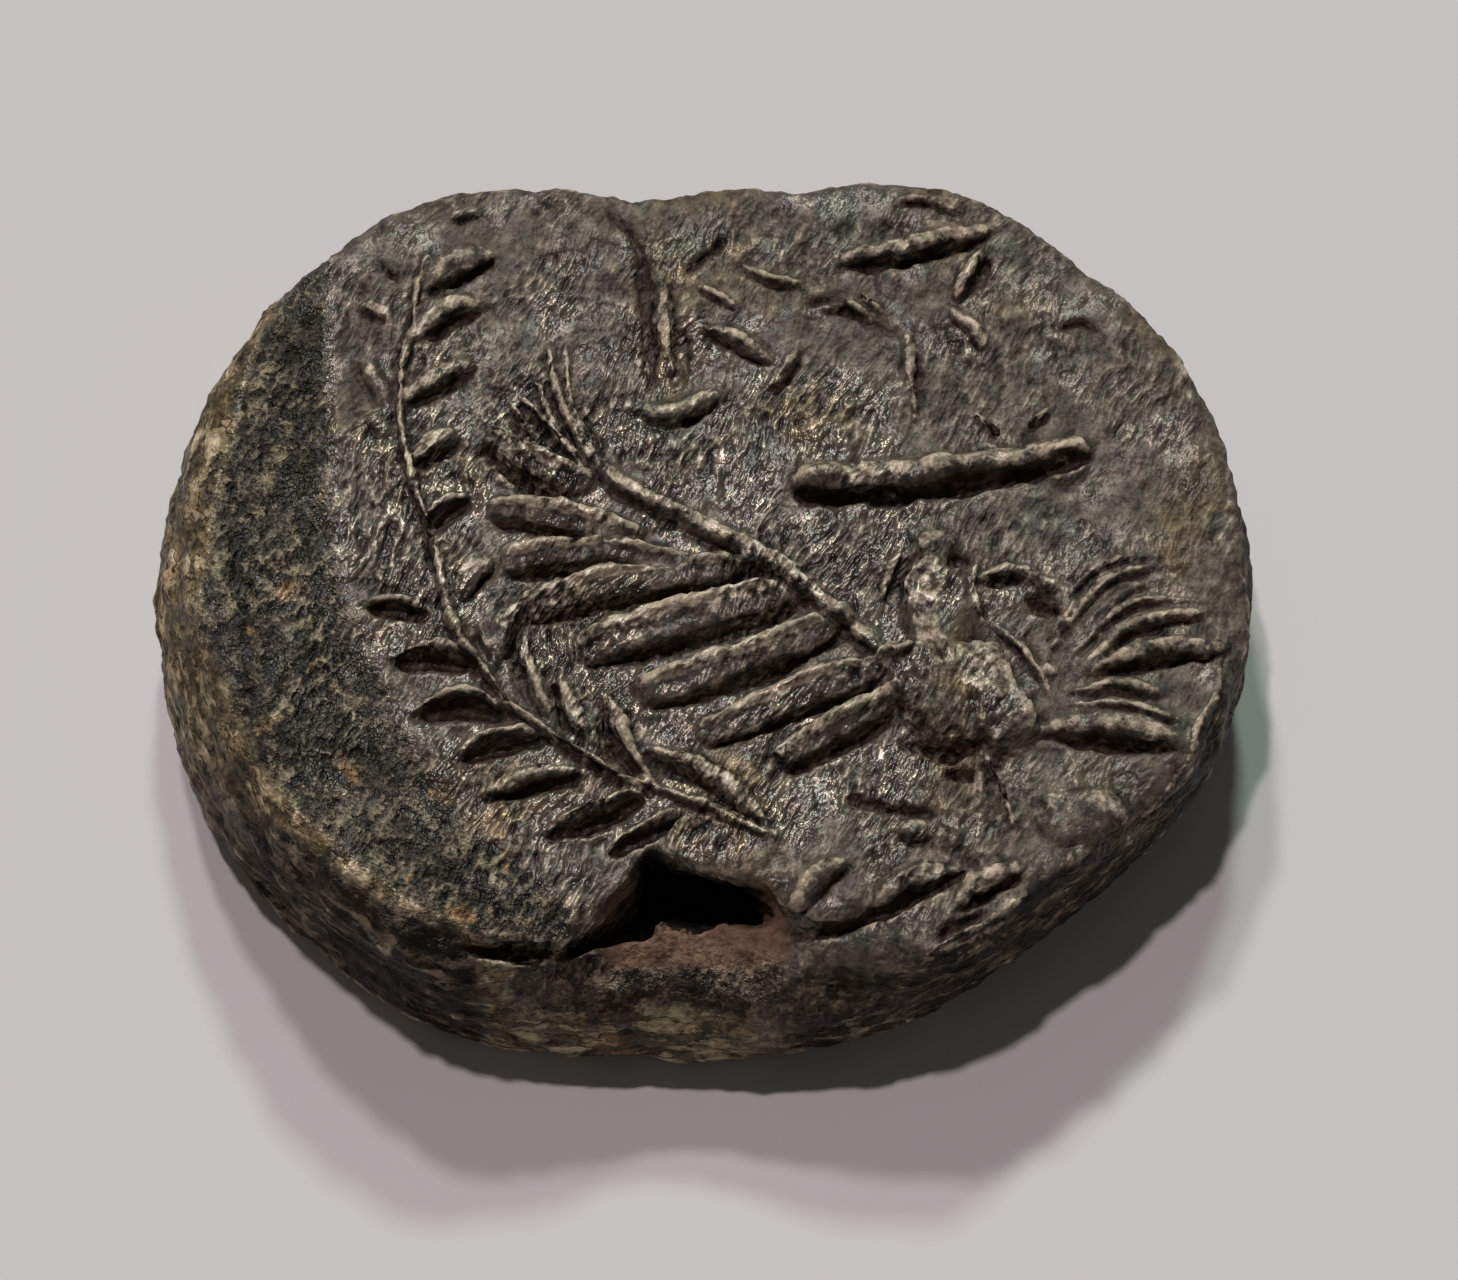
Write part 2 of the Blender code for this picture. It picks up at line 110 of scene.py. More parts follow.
def along(points, part):
    """The place at a part (0 to 1) of the length of a line through points."""
    places = [Vector(point) for point in points]
    lengths = [(b - a).length for a, b in zip(places, places[1:])]
    left = part * sum(lengths)
    for a, b, length in zip(places, places[1:], lengths):
        if left <= length:
            return a.lerp(b, left / length)
        left -= length
    return places[-1]


def rounded(points, closed=False, steps=8):
    """A smooth line through points, as a Catmull-Rom curve."""
    corners = [Vector(point).to_3d() for point in points]
    count = len(corners)
    fine = []
    for index in range(count if closed else count - 1):
        start, end = corners[index], corners[(index + 1) % count]
        before = corners[index - 1] if closed or index else start
        after = corners[(index + 2) % count] if closed or index + 2 < count else end
        leaving, arriving = (end - before) / 6.0, (after - start) / 6.0
        fine += interpolate_bezier(start, start + leaving, end - arriving, end, steps + 1)[:-1]
    fine.append(fine[0] if closed else corners[-1])
    return fine


def field_height(x):
    return FIELD_TOP - RIGHT_FALL * max(x - RIGHT_FALL_FROM, 0.0)


def lump_rings():
    """Rings of points from the base's edge up the side, over the rim and in across the field."""
    levels = len(PLAIN_EDGE)
    rings = [[] for _ in range(levels)]
    edge_line = rounded(OUTLINE, closed=True)
    for step in range(AROUND):
        edge = along(edge_line, step / AROUND)
        angle = math.degrees(math.atan2(edge.y, edge.x))
        shoulder = nearness(angle, SHOULDER_MIDDLE, SHOULDER_SPREAD)
        front = nearness(angle, FRONT_MIDDLE, FRONT_SPREAD) * (1.0 - shoulder)
        plain = 1.0 - shoulder - front
        tuck = TUCK * nearness(angle, TUCK_MIDDLE, TUCK_SPREAD)
        for level in range(levels):
            inset, height = (plain * a + shoulder * b + front * c for a, b, c in zip(
                PLAIN_EDGE[level], SHOULDER[level], LEANING_FRONT[level]))
            point = edge - edge.normalized() * max(inset, tuck)
            fall = FIELD_TOP - field_height(point.x)
            point.z = height - fall * height / FIELD_TOP
            rings[level].append(point)
    columns = [rounded(column, steps=4) for column in zip(*rings)]
    rings = [list(ring) for ring in zip(*columns)]
    rim = rings[-1]
    for number in range(1, ACROSS):
        part = 1.0 - number / ACROSS
        blend = smooth_step((1.0 - part) * 2.0)
        ring = []
        for point in rim:
            inner = Vector((point.x * part, point.y * part, 0.0))
            inner.z = point.z * (1.0 - blend) + field_height(inner.x) * blend
            ring.append(inner)
        rings.append(ring)
    return rings


def new_object(name, data, hidden=False):
    thing = bpy.data.objects.new(name, data)
    bpy.context.scene.collection.objects.link(thing)
    thing.hide_render = hidden
    return thing


def hidden_shape(name, shape):
    """An object that isn't rendered, from a worked shape, whose faces are turned outwards."""
    bmesh.ops.recalc_face_normals(shape, faces=shape.faces)
    mesh = bpy.data.meshes.new(name)
    shape.to_mesh(mesh)
    shape.free()
    return new_object(name, mesh, hidden=True)


def plain_mesh(thing):
    """The object's evaluated shape as a mesh of its own."""
    bpy.context.view_layer.update()
    seen = thing.evaluated_get(bpy.context.evaluated_depsgraph_get())
    return bpy.data.meshes.new_from_object(seen)


def settle(thing):
    """Makes the object's modifiers permanent."""
    mesh = plain_mesh(thing)
    thing.modifiers.clear()
    thing.data = mesh


def remove(*things):
    for thing in things:
        bpy.data.objects.remove(thing)


def make_lump():
    """The lump before it was struck: rings of corners, closed below and at the middle."""
    shape = bmesh.new()
    rows = [[shape.verts.new(point) for point in ring] for ring in lump_rings()]
    shape.faces.new(list(reversed(rows[0])))
    for lower, upper in zip(rows, rows[1:]):
        for step in range(AROUND):
            after = (step + 1) % AROUND
            shape.faces.new((lower[step], lower[after], upper[after], upper[step]))
    middle = shape.verts.new((0.0, 0.0, FIELD_TOP))
    for step in range(AROUND):
        shape.faces.new((rows[-1][step], rows[-1][(step + 1) % AROUND], middle))
    return hidden_shape("lump", shape)


# --- node tree helpers ---
class Bench:
    """Adds nodes to a tree and joins them."""

    def __init__(self, tree):
        self.tree = tree

    def node(self, kind, inputs=None, **settings):
        made = self.tree.nodes.new(kind)
        for name, value in settings.items():
            setattr(made, name, value)
        for key, value in (inputs or {}).items():
            if isinstance(value, bpy.types.NodeSocket):
                self.tree.links.new(value, made.inputs[key])
            else:
                made.inputs[key].default_value = value
        return made

    def out(self, kind, inputs=None, **settings):
        return self.node(kind, inputs, **settings).outputs[0]

    def math(self, operation, first, second=0.0, third=0.0):
        return self.out("ShaderNodeMath", {0: first, 1: second, 2: third}, operation=operation)

    plus = partialmethod(math, "ADD")
    minus = partialmethod(math, "SUBTRACT")
    times = partialmethod(math, "MULTIPLY")
    most = partialmethod(math, "MAXIMUM")
    size = partialmethod(math, "ABSOLUTE")

    def vector(self, operation, first, second=(0.0, 0.0, 0.0)):
        return self.out("ShaderNodeVectorMath", {0: first, 1: second}, operation=operation)

    def scaled(self, vector, scale):
        return self.out("ShaderNodeVectorMath", {0: vector, "Scale": scale}, operation="SCALE")

    def measure(self, operation, first, second=(0.0, 0.0, 0.0)):
        """The one number that a vector operation gives, such as a length."""
        made = self.node("ShaderNodeVectorMath", {0: first, 1: second}, operation=operation)
        return made.outputs["Value"]

    def part(self, vector, axis):
        return self.node("ShaderNodeSeparateXYZ", {0: vector}).outputs[axis]

    def lifted(self, height):
        """A vector straight up."""
        return self.out("ShaderNodeCombineXYZ", {"Z": height})

    def corners(self):
        """Where each corner of the mesh is."""
        return self.out("GeometryNodeInputPosition")

    def kept(self, name, kind="FLOAT"):
        """What the mesh keeps under a name."""
        return self.out("GeometryNodeInputNamedAttribute", {"Name": name}, data_type=kind)

    def keep(self, shape, name, value):
        return self.out("GeometryNodeStoreNamedAttribute", {
            "Geometry": shape, "Name": name, "Value": value}, data_type="FLOAT", domain="POINT")

    def moved(self, shape, offset):
        return self.out("GeometryNodeSetPosition", {"Geometry": shape, "Offset": offset})

    def shaped(self, value, points):
        """A value from 0 to 1 sent through a curve drawn through given points."""
        made = self.node("ShaderNodeFloatCurve", {"Value": value})
        curve = made.mapping.curves[0]
        curve.points[0].location = points[0]
        curve.points[1].location = points[-1]
        for point in points[1:-1]:
            curve.points.new(*point)
        made.mapping.update()
        return made.outputs[0]

    def ramp(self, value, low, high, start=0.0, end=1.0):
        """A value carried smoothly from start at low to end at high, and held beyond."""
        return self.node("ShaderNodeMapRange", {
            "Value": value, "From Min": low, "From Max": high, "To Min": start, "To Max": end},
            interpolation_type="SMOOTHSTEP").outputs["Result"]

    def noise(self, place, scale, detail=2.0, roughness=0.5, stretch=None):
        """Noise around 0, between about -0.5 and 0.5, and its colours; scale is lumps for each mm."""
        if stretch:
            place = self.vector("MULTIPLY", place, stretch)
        made = self.node("ShaderNodeTexNoise", {
            "Vector": place, "Scale": scale, "Detail": detail, "Roughness": roughness})
        return self.minus(made.outputs[0], 0.5), made.outputs["Color"]


def new_tree(name, sockets):
    """A Geometry Nodes tree with a shape going in and out, named inputs and a material."""
    tree = bpy.data.node_groups.new(name, "GeometryNodeTree")
    tree.is_modifier = True
    tree.interface.new_socket("Geometry", in_out="INPUT", socket_type="NodeSocketGeometry")
    tree.interface.new_socket("Geometry", in_out="OUTPUT", socket_type="NodeSocketGeometry")
    for socket, kind in (*sockets, ("Material", "Material")):
        tree.interface.new_socket(socket, in_out="INPUT", socket_type=f"NodeSocket{kind}")
    bench = Bench(tree)
    return bench, bench.node("NodeGroupInput"), bench.node("NodeGroupOutput")


def use_tree(thing, tree, values):
    """Puts a tree on an object with its named inputs set, by the sockets' identifiers."""
    step = thing.modifiers.new(tree.name, "NODES")
    step.node_group = tree
    for item in tree.interface.items_tree:
        if item.item_type == "SOCKET" and item.in_out == "INPUT" and item.name in values:
            step[item.identifier] = values[item.name]


def finish_tree(bench, start, end, geometry):
    """Ends a tree and gives it: what it made is real, and has its material."""
    real = bench.node("GeometryNodeRealizeInstances", {"Geometry": geometry})
    dressed = bench.node("GeometryNodeSetMaterial", {
        "Geometry": real.outputs[0], "Material": start.outputs["Material"]})
    bench.tree.links.new(dressed.outputs[0], end.inputs[0])
    return bench.tree


# --- striking lines into the surface ---
# Sections across a line, from its lit side (0) to its shaded side (1), as heights from 0 to 1.
# At both sides they meet the ground.
GROUND = 0.5
CUT_BLADE = ((0.08, 0.64), (0.18, 0.86), (0.27, 0.76), (0.36, 0.16), (0.46, 0.0), (0.6, 0.08),
             (0.78, 0.4), (0.9, 0.58))
FEATHER = ((0.05, 0.66), (0.1, 0.82), (0.18, 0.92), (0.25, 0.96), (0.32, 0.82), (0.42, 0.74), (0.7, 0.64),
           (0.77, 0.4), (0.84, 0.06), (0.91, 0.1), (0.96, 0.36))
FEATHER_CREST = 0.7
RAISED_LINE = ((0.12, 0.5), (0.26, 0.8), (0.4, 1.0), (0.52, 0.88), (0.62, 0.4), (0.74, 0.14),
               (0.86, 0.22))
STEEP_BAR = ((0.06, 0.6), (0.16, 0.76), (0.3, 0.87), (0.5, 0.84), (0.63, 0.72), (0.71, 0.12),
             (0.79, 0.01), (0.87, 0.12), (0.95, 0.4))
SWELL = ((0.06, 0.68), (0.2, 0.87), (0.5, 1.0), (0.8, 0.87), (0.94, 0.68))
SLOT = ((0.2, 0.3), (0.4, 0.02), (0.6, 0.02), (0.85, 0.34))
LINE_SPACING = 0.06
FULLNESS = 0.6                       # under 1, a line keeps its width nearly to its ends
LIT_FROM = Vector((-0.3, 1.0, 0.0))


class Lines:
    """Lines for one kind of stroke, as places with a half width, a rise and a shaded side.

    All have one section, waver by some mm, and take some tan crust with a painted highlight on the lit
    side of their crests, and some painted shade on their shaded side.
    """

    def __init__(self, name, section, waver, crust, shade=0.0):
        self.name, self.section, self.waver, self.crust, self.shade = name, section, waver, crust, shade
        self.places, self.half_widths, self.rises, self.shades = [], [], [], []

    def add(self, points, width, rise, start=0.3, end=0.3, shift=0.0):
        """A line through points; start and end are its widths there, as parts of the middle's.

        It is moved to its shaded side by a shift, as a part of its half width.
        """
        line = rounded(points, steps=10)
        length = sum((b - a).length for a, b in zip(line, line[1:]))
        count = max(int(length / LINE_SPACING), 3)
        places = [along(line, step / count) for step in range(count + 1)]
        run = places[-1] - places[0]
        side = 1.0 if Vector((run.y, -run.x, 0.0)).dot(LIT_FROM) < 0.0 else -1.0
        for step, place in enumerate(places):
            part = step / count
            ahead = places[min(step + 1, count)] - places[max(step - 1, 0)]
            shade = Vector((ahead.y, -ahead.x, 0.0)).normalized() * side
            ends = start * (1.0 - part) + end * part
            swell = ends + (1.0 - ends) * math.sin(math.pi * part) ** FULLNESS
            place = place + shade * shift * 0.5 * width * swell
            self.places.append((place.x, place.y, 0.0))
            self.half_widths.append(0.5 * width * swell)
            self.rises.append(rise * swell)
            self.shades.append(shade)

    def add_all(self, strokes, start, end):
        for width, rise, *places in strokes:
            self.add(list(zip(places[::2], places[1::2])), width, rise, start, end)

    def guide(self):
        mesh = bpy.data.meshes.new(self.name)
        mesh.from_pydata(self.places, [], [])
        keep_values(mesh, "half_width", self.half_widths)
        keep_values(mesh, "rise", self.rises)
        shades = mesh.attributes.new("shade", "FLOAT_VECTOR", "POINT")
        shades.data.foreach_set("vector", np.array(self.shades, dtype=np.float32).ravel())
        return new_object(self.name, mesh, hidden=True)


def keep_values(mesh, name, values):
    layer = mesh.attributes.new(name, "FLOAT", "POINT")
    layer.data.foreach_set("value", np.asarray(values, dtype=np.float32))


def read_strokes(bench, start, section):
    """Reads the nearest stroke at each place: across it, its section there, its fade and rise."""
    level = bench.vector("MULTIPLY", bench.corners(), (1.0, 1.0, 0.0))
    shifted = bench.vector("ADD", level, bench.lifted(start.outputs["Seed"]))
    drift = bench.vector("SUBTRACT", bench.noise(shifted, 0.9, 3.0, 0.6)[1], (0.5, 0.5, 0.5))
    wavered = bench.vector("ADD", level, bench.scaled(drift, start.outputs["Waver"]))
    flat = bench.vector("MULTIPLY", wavered, (1.0, 1.0, 0.0))
    lines = bench.node("GeometryNodeObjectInfo", {
        "Object": start.outputs["Lines"]}).outputs["Geometry"]
    nearest = bench.out("GeometryNodeSampleNearest", {
        "Geometry": lines, "Sample Position": flat}, domain="POINT")

    def sampled(value, kind="FLOAT"):
        return bench.out("GeometryNodeSampleIndex", {
            "Geometry": lines, "Value": value, "Index": nearest}, data_type=kind, domain="POINT")

    half_width = sampled(bench.kept("half_width"))
    away = bench.vector("SUBTRACT", flat, sampled(bench.corners(), "FLOAT_VECTOR"))
    distance = bench.measure("LENGTH", away)
    shade = sampled(bench.kept("shade", "FLOAT_VECTOR"), "FLOAT_VECTOR")
    to_shade = bench.measure("DOT_PRODUCT", away, shade)
    across = bench.math("MULTIPLY_ADD", bench.math("DIVIDE", to_shade, half_width), 0.5, 0.5)
    fade = bench.ramp(bench.math("DIVIDE", distance, half_width), 1.15, 0.8)
    # A section stands 0.5 over the ground, so a rise is doubled on average.
    uneven = bench.math("MULTIPLY_ADD", bench.noise(shifted, 1.7)[0], 1.1, 2.0)
    rise = bench.times(sampled(bench.kept("rise")), uneven)
    facing = bench.part(bench.out("GeometryNodeInputNormal"), "Z")
    fade = bench.times(fade, bench.ramp(facing, 0.1, 0.5))
    height = bench.shaped(across, ((0.0, GROUND), *section, (1.0, GROUND)))
    return across, height, fade, rise


STROKE_SOCKETS = (("Lines", "Object"), ("Waver", "Float"), ("Seed", "Float"))


def strike_tree(lines):
    """A tree that raises and sinks the upper surface along lines, with their section across."""
    bench, start, end = new_tree("strike_" + lines.name, STROKE_SOCKETS)
    _, height, fade, rise = read_strokes(bench, start, lines.section)
    height = bench.times(bench.minus(height, GROUND), bench.times(fade, rise))
    return finish_tree(bench, start, end, bench.moved(start.outputs[0], bench.lifted(height)))


def mark_tree(lines):
    """A tree that keeps where lines stand up to the light, which takes tan crust and a painted highlight,
    and where they are sunk and where they face away from the light, which take dirt and painted shade.
    """
    bench, start, end = new_tree("mark_" + lines.name, STROKE_SOCKETS)
    across, height, fade, rise = read_strokes(bench, start, lines.section)
    fade = bench.times(fade, bench.ramp(rise, 0.1, 0.4))
    # The lit side of a crest: tan crust with a painted highlight.
    lit = bench.times(bench.ramp(height, 0.7, 0.82), bench.ramp(across, 0.62, 0.5, 0.0, lines.crust))
    # Deep in a section and on the side away from the light: painted shade, with dirt in the deepest part.
    dark = bench.most(bench.ramp(height, 0.38, 0.12), bench.ramp(across, 0.34, 0.44, 0.0, lines.shade))
    shape = start.outputs[0]
    for mark, amount in (("crest", lit), ("groove", dark)):
        shape = bench.keep(shape, mark, bench.most(bench.kept(mark), bench.times(amount, fade)))
    return finish_tree(bench, start, end, shape)


# --- the struck picture ---
# A stroke is its width, its rise, and the x and y of each point along it. A few are points alone.
BRANCH_STEM = (
    (-6.2, 7.9), (-6.4, 7.1), (-6.5, 6.0), (-6.7, 5.2), (-6.7, 4.3), (-6.6, 3.4), (-6.45, 2.7),
    (-6.2, 1.8), (-5.9, 0.9), (-5.7, 0.0), (-5.5, -0.9), (-5.1, -1.7), (-4.7, -2.25), (-4.3, -2.85),
    (-3.7, -3.4), (-3.1, -3.85), (-2.4, -4.3), (-1.7, -4.75), (-0.6, -5.15), (0.4, -5.55), (1.6, -6.1),
)
INNER_LEAVES = (
    (0.47, 0.18, -5.7, 8.95, -4.9, 9.1), (1.0, 0.31, -5.95, 7.25, -5.4, 7.75, -4.65, 8.0),
    (0.95, 0.32, -6.25, 6.15, -5.55, 6.6, -4.8, 6.75), (0.9, 0.32, -6.5, 4.35, -5.8, 4.95, -5.05, 5.2),
    (0.9, 0.31, -6.4, 2.8, -5.9, 3.25, -5.35, 3.55), (0.85, 0.29, -5.25, -0.45, -5.0, 0.1, -4.55, 0.4),
    (0.85, 0.29, -4.45, -1.95, -4.2, -1.2, -3.9, -0.7), (0.57, 0.18, -7.7, 6.8, -7.3, 6.65, -6.95, 6.4),
    (0.76, 0.18, -7.6, 5.35, -7.3, 4.9, -7.0, 4.3), (0.47, 0.14, -7.3, 4.1, -6.95, 3.5),
    (0.47, 0.14, -7.2, 7.9, -6.7, 7.4), (0.28, 0.14, -7.2, 0.1, -6.8, -0.15),
)
OUTER_LEAVES = (
    (0.85, 0.36, -7.25, -0.65, -6.6, -0.7, -6.0, -0.85),
    (1.05, 0.41, -6.6, -1.95, -5.6, -1.9, -4.85, -2.1),
    (1.05, 0.43, -6.05, -3.25, -5.1, -3.05, -4.15, -3.3),
    (1.0, 0.43, -5.2, -4.3, -4.2, -3.95, -3.35, -3.85), (0.9, 0.43, -4.5, -5.25, -3.5, -4.9, -2.6, -4.7),
    (1.0, 0.46, -3.05, -6.05, -2.0, -5.6, -1.15, -5.15),
    (0.65, 0.36, -1.9, -6.5, -1.1, -6.0, -0.35, -5.6), (0.9, 0.36, -5.95, 1.1, -5.6, 1.65, -5.05, 1.95),
)
WING_LEAD = ((-2.6, 3.0), (-1.7, 2.2), (-0.7, 1.7), (0.2, 1.2), (1.1, 0.65), (2.6, -0.5), (4.2, -1.9))
# Each feather's width, and its crest from its tip to its root.
FEATHERS = (
    (1.1, -4.3, 3.55, -3.6, 3.15, -2.6, 2.6), (0.95, -4.3, 1.9, -3.2, 1.8, -1.5, 1.3),
    (1.0, -3.95, 0.7, -2.0, 0.98, -0.5, 0.65), (1.1, -3.6, -0.35, -1.5, 0.32, 0.9, 0.55),
    (1.35, -2.3, -1.25, 0.0, -0.38, 1.9, -0.05), (1.15, -1.0, -2.35, 0.9, -1.6, 2.9, -0.75),
    (1.05, 0.3, -3.35, 2.2, -2.38, 3.9, -1.9), (0.95, 1.9, -3.95, 3.3, -3.05, 4.1, -2.7),
)
RAYS = (
    (0.6, 0.28, 8.4, -2.15, 8.85, -1.65, 9.4, -1.15, 10.4, -0.85, 11.3, -0.75),
    (0.75, 0.36, 8.6, -2.1, 9.3, -1.85, 10.2, -1.65, 11.5, -1.5),
    (0.55, 0.3, 8.2, -2.6, 9.0, -2.45, 9.7, -2.55, 10.1, -2.65),
    (1.1, 0.42, 7.6, -3.5, 8.8, -3.5, 9.7, -3.6, 10.5, -3.85),
)
SHORT_BARS = (
    (0.73, 0.32, -1.4, 4.1, -0.6, 4.05, 0.45, 4.45), (0.63, 0.34, 0.1, 6.1, 0.8, 5.8, 1.6, 5.3),
    (0.52, 0.28, 1.5, 4.55, 1.9, 5.0, 2.2, 5.6), (0.45, 0.29, 0.95, 7.75, 1.5, 7.4, 2.4, 7.15),
    (0.88, 0.4, 3.3, 7.9, 4.9, 8.2, 6.6, 8.75), (0.63, 0.34, 6.35, 8.15, 6.15, 7.7, 5.7, 6.9),
    (0.49, 0.3, 4.7, 6.2, 4.75, 5.2, 4.85, 3.9), (0.59, 0.3, -0.8, 7.4, -0.7, 5.8, -0.62, 5.0),
    (0.49, 0.24, 2.7, 6.6, 3.3, 6.75, 3.9, 6.35), (0.49, 0.24, 5.6, 6.6, 6.1, 6.1, 6.3, 5.5),
)
THIN_RIDGES = (
    (0.42, 0.34, -3.4, 5.75, -3.3, 4.8, -3.05, 4.1, -2.45, 2.9),
    (0.36, 0.3, -3.0, 5.7, -2.88, 4.7, -2.6, 3.65, -2.2, 2.85),
    (0.34, 0.28, -3.64, 4.9, -3.5, 4.3, -3.2, 3.7),
    (0.42, 0.32, -4.0, 4.45, -3.55, 3.9, -3.0, 3.2, -2.5, 2.55),
    (0.4, 0.3, -4.25, 4.35, -3.95, 3.7, -3.5, 3.05),
    (0.34, 0.14, 7.55, -1.5, 7.75, -0.95, 8.1, -0.3, 8.6, 0.25, 9.3, 0.55, 10.5, 0.68),
    (0.4, 0.17, 7.6, -1.85, 8.3, -0.7, 9.0, 0.05, 9.9, 0.37, 10.9, 0.48),
    (0.36, 0.14, 7.95, -1.75, 8.45, -1.1, 9.0, -0.5, 9.6, -0.1, 10.4, 0.1),
    (0.42, 0.2, 8.1, -1.9, 8.9, -0.95, 9.6, -0.5, 10.4, -0.4, 11.1, -0.45),
    (0.65, 0.3, -3.0, -2.5, -2.8, -3.2, -2.5, -3.75),
    (0.9, 0.34, -1.98, -3.0, -1.64, -3.95, -1.05, -4.95), (1.05, 0.34, -1.0, -4.1, 0.3, -4.8, 1.35, -5.7),
    (0.35, 0.2, -4.85, -1.1, -4.6, -1.9), (0.8, 0.27, -4.05, -1.2, -3.8, -2.1, -3.3, -3.3),
    (0.32, 0.22, -0.15, 7.2, 0.9, 6.6), (0.3, 0.16, 4.2, 9.2, 4.9, 9.4, 5.9, 9.1),
    (0.36, 0.22, 3.55, 7.15, 3.8, 6.85, 4.2, 6.55), (0.32, 0.22, 6.1, 4.2, 6.7, 3.5),
    (0.36, 0.22, 7.2, 3.6, 7.85, 4.3), (0.28, 0.26, 6.15, 0.45, 6.08, -0.1, 6.3, -1.0),
    (0.4, 0.2, 6.4, -1.0, 7.15, -1.75, 7.7, -2.7),
    (0.3, 0.2, 8.05, 0.0, 8.2, -0.45, 7.9, -1.0, 7.55, -1.45), (0.4, 0.2, 4.2, -2.1, 4.9, -1.6),
    (0.45, 0.25, 8.1, -2.95, 9.0, -2.92, 9.7, -3.05, 10.5, -3.35),
    (0.5, 0.25, 6.2, -4.2, 6.5, -5.0, 6.8, -5.8),
    (0.4, 0.2, 11.5, -1.95, 11.35, -2.6, 10.9, -3.5, 10.7, -4.2, 9.7, -5.4, 9.1, -5.9),
    (0.75, 0.3, 4.7, -8.9, 5.5, -8.5, 6.3, -8.15, 7.0, -7.4), (0.4, 0.15, 5.1, -1.4, 5.6, -2.5),
)
BARS = (
    (1.15, 0.52, 2.5, 2.3, 5.0, 2.55, 8.25, 3.15), (0.65, 0.35, 6.2, 0.05, 6.7, 0.25, 7.25, 0.35),
    (0.9, 0.35, 2.0, -7.7, 2.5, -7.2, 3.2, -6.7), (0.95, 0.35, 3.8, -7.9, 4.5, -7.2, 5.6, -6.8),
    (0.6, 0.3, 4.5, 0.65, 4.26, 0.1, 4.0, -0.65), (0.85, 0.35, 5.6, -7.7, 6.2, -7.15, 6.9, -6.75),
    (0.6, 0.25, 7.9, -6.85, 8.5, -6.3),
)
SWELLINGS = (
    (3.1, 0.7, 5.3, -2.25, 6.2, -2.75), (1.75, 0.42, 5.2, 0.2, 5.3, -1.2),
    (0.8, 0.35, 5.1, 0.85, 5.3, 0.85), (0.95, 0.3, 2.65, 2.4, 2.75, 2.4),
    (1.0, 0.3, 8.05, 2.9, 8.2, 2.95), (1.4, 0.3, 7.9, -5.55, 8.75, -5.55),
    (0.4, 0.25, 7.25, 0.15, 7.35, 0.12), (0.35, 0.25, 7.62, -0.04, 7.7, -0.08),
    (0.9, 0.14, 5.6, 6.3, 6.2, 5.6), (0.5, 0.25, 4.6, -5.95, 4.7, -5.95),
    (0.6, 0.2, 5.3, -6.1, 5.4, -6.1), (0.4, 0.2, 7.65, -2.1, 7.75, -2.15),
)
SLOTS = (
    (0.42, 0.28, -2.1, 9.1, -1.6, 8.6, -1.3, 7.7, -1.15, 6.2, -1.05, 4.6),
    (0.25, 0.2, -0.35, 6.1, -0.27, 4.6), (0.3, 0.3, -3.15, -2.5, -3.05, -3.2, -2.9, -3.7),
    (0.35, 0.32, -2.15, -3.1, -2.05, -3.7, -1.8, -4.4), (0.4, 0.3, 3.1, -5.2, 4.0, -5.4, 5.1, -5.6),
    (0.4, 0.3, 5.4, -4.6, 6.0, -4.65), (0.3, 0.25, 7.35, -5.15, 7.5, -5.8),
    (0.5, 0.34, 4.4, -3.85, 5.3, -4.15, 6.3, -3.8), (0.6, 0.36, 7.3, -0.35, 7.95, -0.75),
    (0.35, 0.3, 5.45, 0.3, 5.95, 0.62), (0.34, 0.25, -0.3, 7.55, 0.15, 8.0, 0.55, 8.5),
    (0.4, 0.24, 2.3, 6.8, 3.1, 6.85, 3.4, 6.6, 4.3, 6.15), (0.3, 0.25, 8.1, 6.3, 8.5, 6.45, 8.9, 6.2),
    (0.3, 0.25, 5.1, -8.45, 6.2, -7.75), (0.4, 0.3, 7.6, -7.6, 7.8, -7.5),
    (0.34, 0.5, -5.6, -8.3, -4.6, -8.5, -3.8, -8.55, -3.0, -8.45),
    (0.34, 0.45, 1.7, -7.95, 2.3, -8.15, 3.1, -8.1, 3.9, -7.8, 4.6, -7.3),
)


def struck_lines():
    """All the struck lines, sorted by their section, in the order in which they are struck."""
    swells = Lines("swell_lines", SWELL, 0.3, 0.6)
    swells.add_all(SWELLINGS, 0.9, 0.9)
    swells.add([(x + 0.1, y) for x, y in DIE_EDGE[3:]], 0.9, 0.12, 0.6, 0.6)
    bars = Lines("bar_lines", STEEP_BAR, 0.45, 0.7)
    bars.add_all(BARS[:1], 0.8, 0.8)
    bars.add(WING_LEAD, 0.85, 0.26, 0.5, 0.6)
    bars.add_all(BARS[1:] + SHORT_BARS + INNER_LEAVES + RAYS, 0.45, 0.3)
    blades = Lines("blade_lines", CUT_BLADE, 0.3, 0.9)
    blades.add_all(OUTER_LEAVES, 0.4, 0.3)
    feathers = Lines("feather_lines", FEATHER, 0.25, 1.0, 0.25)
    for width, *places in FEATHERS:
        crest = list(zip(places[::2], places[1::2]))
        feathers.add(crest, width * 1.05, 0.48, 0.8, 0.6, shift=FEATHER_CREST)
    raised = Lines("raised_lines", RAISED_LINE, 0.25, 0.9)
    raised.add(BRANCH_STEM, 0.4, 0.32, 0.6, 0.5)
    raised.add_all(THIN_RIDGES, 0.4, 0.4)
    slots = Lines("slot_lines", SLOT, 0.25, 0.0)
    slots.add_all(SLOTS, 0.4, 0.4)
    return swells, bars, blades, feathers, raised, slots


